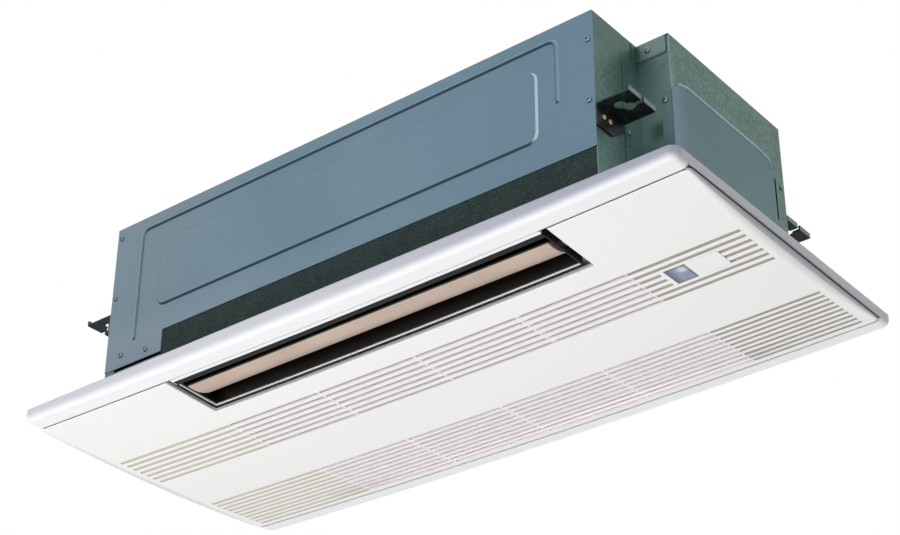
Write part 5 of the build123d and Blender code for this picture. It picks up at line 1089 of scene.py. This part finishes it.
def add_head(bm, seat, axis, turn):
    """A domed head on its seat, with the recess turned its own way."""
    side = axis.orthogonal().normalized()
    other = axis.cross(side)
    rows = []
    for ring in range(HEAD_RINGS + 1):
        share = 1 - ring / HEAD_RINGS
        dome = HEAD_HEIGHT * (HEAD_BRIM + (1 - HEAD_BRIM) * math.sqrt(max(0, 1 - (share * HEAD_BULGE) ** 2)))
        row = []
        for k in range(HEAD_SIDES):
            angle = 2 * math.pi * k / HEAD_SIDES
            u = HEAD_RADIUS * share * math.cos(angle)
            v = HEAD_RADIUS * share * math.sin(angle)
            turned_u = u * math.cos(turn) - v * math.sin(turn)
            turned_v = u * math.sin(turn) + v * math.cos(turn)
            w = dome - cross_depth(turned_u, turned_v)
            row.append(bm.verts.new(seat + side * u + other * v + axis * w))
            if ring == HEAD_RINGS:
                break
        rows.append(row)
    foot = [bm.verts.new(v.co - axis * (v.co - seat).dot(axis)) for v in rows[0]]
    for k in range(HEAD_SIDES):
        n = (k + 1) % HEAD_SIDES
        bm.faces.new((foot[k], foot[n], rows[0][n], rows[0][k]))
        for a, b in zip(rows[:-2], rows[1:-1]):
            bm.faces.new((a[k], a[n], b[n], b[k]))
        bm.faces.new((rows[-2][k], rows[-2][n], rows[-1][0]))
    bm.faces.new(list(reversed(foot)))


def add_rod(bm, start, end, radius, count=16):
    """A plain closed rod between two points."""
    axis = (end - start).normalized()
    side = axis.orthogonal().normalized()
    other = axis.cross(side)
    rings = []
    for place in (start, end):
        ring = []
        for k in range(count):
            angle = 2 * math.pi * k / count
            ring.append(bm.verts.new(place + (side * math.cos(angle) + other * math.sin(angle)) * radius))
        rings.append(ring)
    bridge_rings(bm, rings[0], rings[1])
    bm.faces.new(list(reversed(rings[0])))
    bm.faces.new(rings[1])


def detailed_screws(node, material):
    """Screws that stand exactly where the node's own screws stand."""
    bm = bmesh.new()
    for index, group in enumerate(islands(frame["nodes"][node])):
        low = Vector(tuple(min(c[i] for c in group) for i in range(3)))
        high = Vector(tuple(max(c[i] for c in group) for i in range(3)))
        size = high - low
        along = max(range(3), key=lambda i: size[i])
        across = [i for i in range(3) if i != along]
        middle = (low + high) / 2
        # the head lies on the side where the widest points are
        wide = [c for c in group if max(abs(c[i] - middle[i]) for i in across) > HEAD_RADIUS * HEAD_ONLY]
        out = 1 if group_middle(wide)[along] > middle[along] else -1
        axis = Vector((0, 0, 0))
        axis[along] = out
        tip = middle.copy()
        tip[along] = low[along] if out > 0 else high[along]
        top = middle.copy()
        top[along] = high[along] if out > 0 else low[along]
        seat = top - axis * HEAD_HEIGHT
        add_head(bm, seat, axis, TURN_STEP * index)
        add_rod(bm, tip, seat - axis * 0.02 * MM, HEAD_RADIUS * SHANK_SHARE)
    bmesh.ops.recalc_face_normals(bm, faces=bm.faces)
    finish_piece("detailed_" + node, bm, material, "unit", "zinc_screw", node)


detailed_screws("casing_screws", "zinc_screw")
detailed_screws("bracket_screws", "yellow_zinc")

# every other piece takes the finish of its slot in the record, or its own from SPECIAL
slots = {entry["node"]: entry["material_slot"] for entry in frame["record"]["subparts"]}
for node, thing in frame["nodes"].items():
    thing.data.materials.clear()
    thing.data.materials.append(MATERIALS[SPECIAL.get(node, slots[node])])

# ---------------------------------------------------------------- room, light and camera
FLOOR_LEVEL = -6.0
FLOOR_REACH = 40
FLOOR_PALENESS = 0.5
floor_mesh = bpy.data.meshes.new("floor")
floor_mesh.from_pydata(
    [(x * FLOOR_REACH, y * FLOOR_REACH, FLOOR_LEVEL) for x, y in ((-1, -1), (1, -1), (1, 1), (-1, 1))],
    [],
    [(0, 1, 2, 3)],
)
floor = bpy.data.objects.new("floor", floor_mesh)
bpy.context.scene.collection.objects.link(floor)
floor_shader = Shader("floor_pale", roughness=0.9, specular=0.2)
floor_shader.colour(floor_shader.ramp(floor_shader.noise(2.0), [(0.3, (0.9,) * 3), (0.7, (0.88,) * 3)]))
# a glow that only the camera sees keeps the floor pale
floor_shader.set(floor_shader.bsdf, "Emission Color", (1, 1, 1, 1))
floor_path = floor_shader.tree.nodes.new("ShaderNodeLightPath")
floor_glow = floor_shader.times(floor_path.outputs["Is Camera Ray"], FLOOR_PALENESS)
floor_shader.link(floor_glow, floor_shader.bsdf.inputs["Emission Strength"])
floor.data.materials.append(floor_shader.material)

# the backdrop is white to the camera and in reflections, and only dimly lights the pieces
AMBIENT = 0.36
world = bpy.data.worlds.new("studio")
bpy.context.scene.world = world
world.use_nodes = True
sky = world.node_tree
path = sky.nodes.new("ShaderNodeLightPath")
mirrored = sky.nodes.new("ShaderNodeMath")
mirrored.operation = "MAXIMUM"
sky.links.new(path.outputs["Is Glossy Ray"], mirrored.inputs[0])
sky.links.new(path.outputs["Is Transmission Ray"], mirrored.inputs[1])
seen = sky.nodes.new("ShaderNodeMath")
seen.operation = "MAXIMUM"
seen.use_clamp = True
sky.links.new(path.outputs["Is Camera Ray"], seen.inputs[0])
sky.links.new(mirrored.outputs["Value"], seen.inputs[1])
strength = sky.nodes.new("ShaderNodeMix")
strength.inputs["A"].default_value = AMBIENT
strength.inputs["B"].default_value = 1.0
sky.links.new(seen.outputs["Value"], strength.inputs["Factor"])
background = sky.nodes["Background"]
background.inputs["Color"].default_value = (1, 1, 1, 1)
sky.links.new(strength.outputs["Result"], background.inputs["Strength"])


def area_light(name, place, aim, size, watts, colour=(1, 1, 1)):
    """A lamp that is aimed at a point and that the camera doesn't see."""
    lamp = bpy.data.lights.new(name, "AREA")
    lamp.shape = "RECTANGLE"
    lamp.size, lamp.size_y = size
    lamp.energy = watts
    lamp.color = colour
    thing = bpy.data.objects.new(name, lamp)
    thing.location = place
    thing.rotation_euler = (Vector(aim) - Vector(place)).to_track_quat("-Z", "Y").to_euler()
    thing.visible_camera = False
    bpy.context.scene.collection.objects.link(thing)


area_light("key_below", (-0.45, -1.0, -2.5), (0, 0, 0), (3.0, 2.4), 61)
area_light("front_soft", (0.3, -3.4, 0.5), (0, 0, 0.1), (2.4, 2.0), 30, (0.95, 0.97, 1.0))
area_light("end_soft", (2.8, 0.6, 0.5), (0.4, 0, 0.1), (1.6, 1.6), 2.5, (0.96, 1.0, 0.99))
area_light("top_soft", (0, 0.4, 3.2), (0, 0, 0), (3.0, 3.0), 24)
area_light("back_soft", (-0.8, 3.3, 0.7), (-0.2, 0, 0.1), (2.4, 2.0), 26)
area_light("left_soft", (-3.2, 0.5, 0.7), (-0.4, 0, 0.1), (2.0, 1.8), 12)

# the camera, fitted to the photograph
CAMERA_PLACE = Vector((1.35934, -1.67643, -1.13378))
CAMERA_FORWARD = Vector((-0.53751, 0.67211, 0.50927))
CAMERA_UP = Vector((0.31524, -0.39998, 0.86060))
FOCAL_PIXELS = 1966.65
IMAGE_WIDTH = 900
SENSOR_WIDTH = 36
camera_data = bpy.data.cameras.new("camera")
camera_data.sensor_width = SENSOR_WIDTH
camera_data.lens = FOCAL_PIXELS / IMAGE_WIDTH * SENSOR_WIDTH
camera = bpy.data.objects.new("camera", camera_data)
right = CAMERA_FORWARD.cross(CAMERA_UP).normalized()
up = right.cross(CAMERA_FORWARD).normalized()
turn = Matrix((right, up, -CAMERA_FORWARD)).transposed().to_4x4()
camera.matrix_world = Matrix.Translation(CAMERA_PLACE) @ turn
bpy.context.scene.collection.objects.link(camera)
bpy.context.scene.camera = camera
bpy.context.scene.view_settings.view_transform = "Standard"
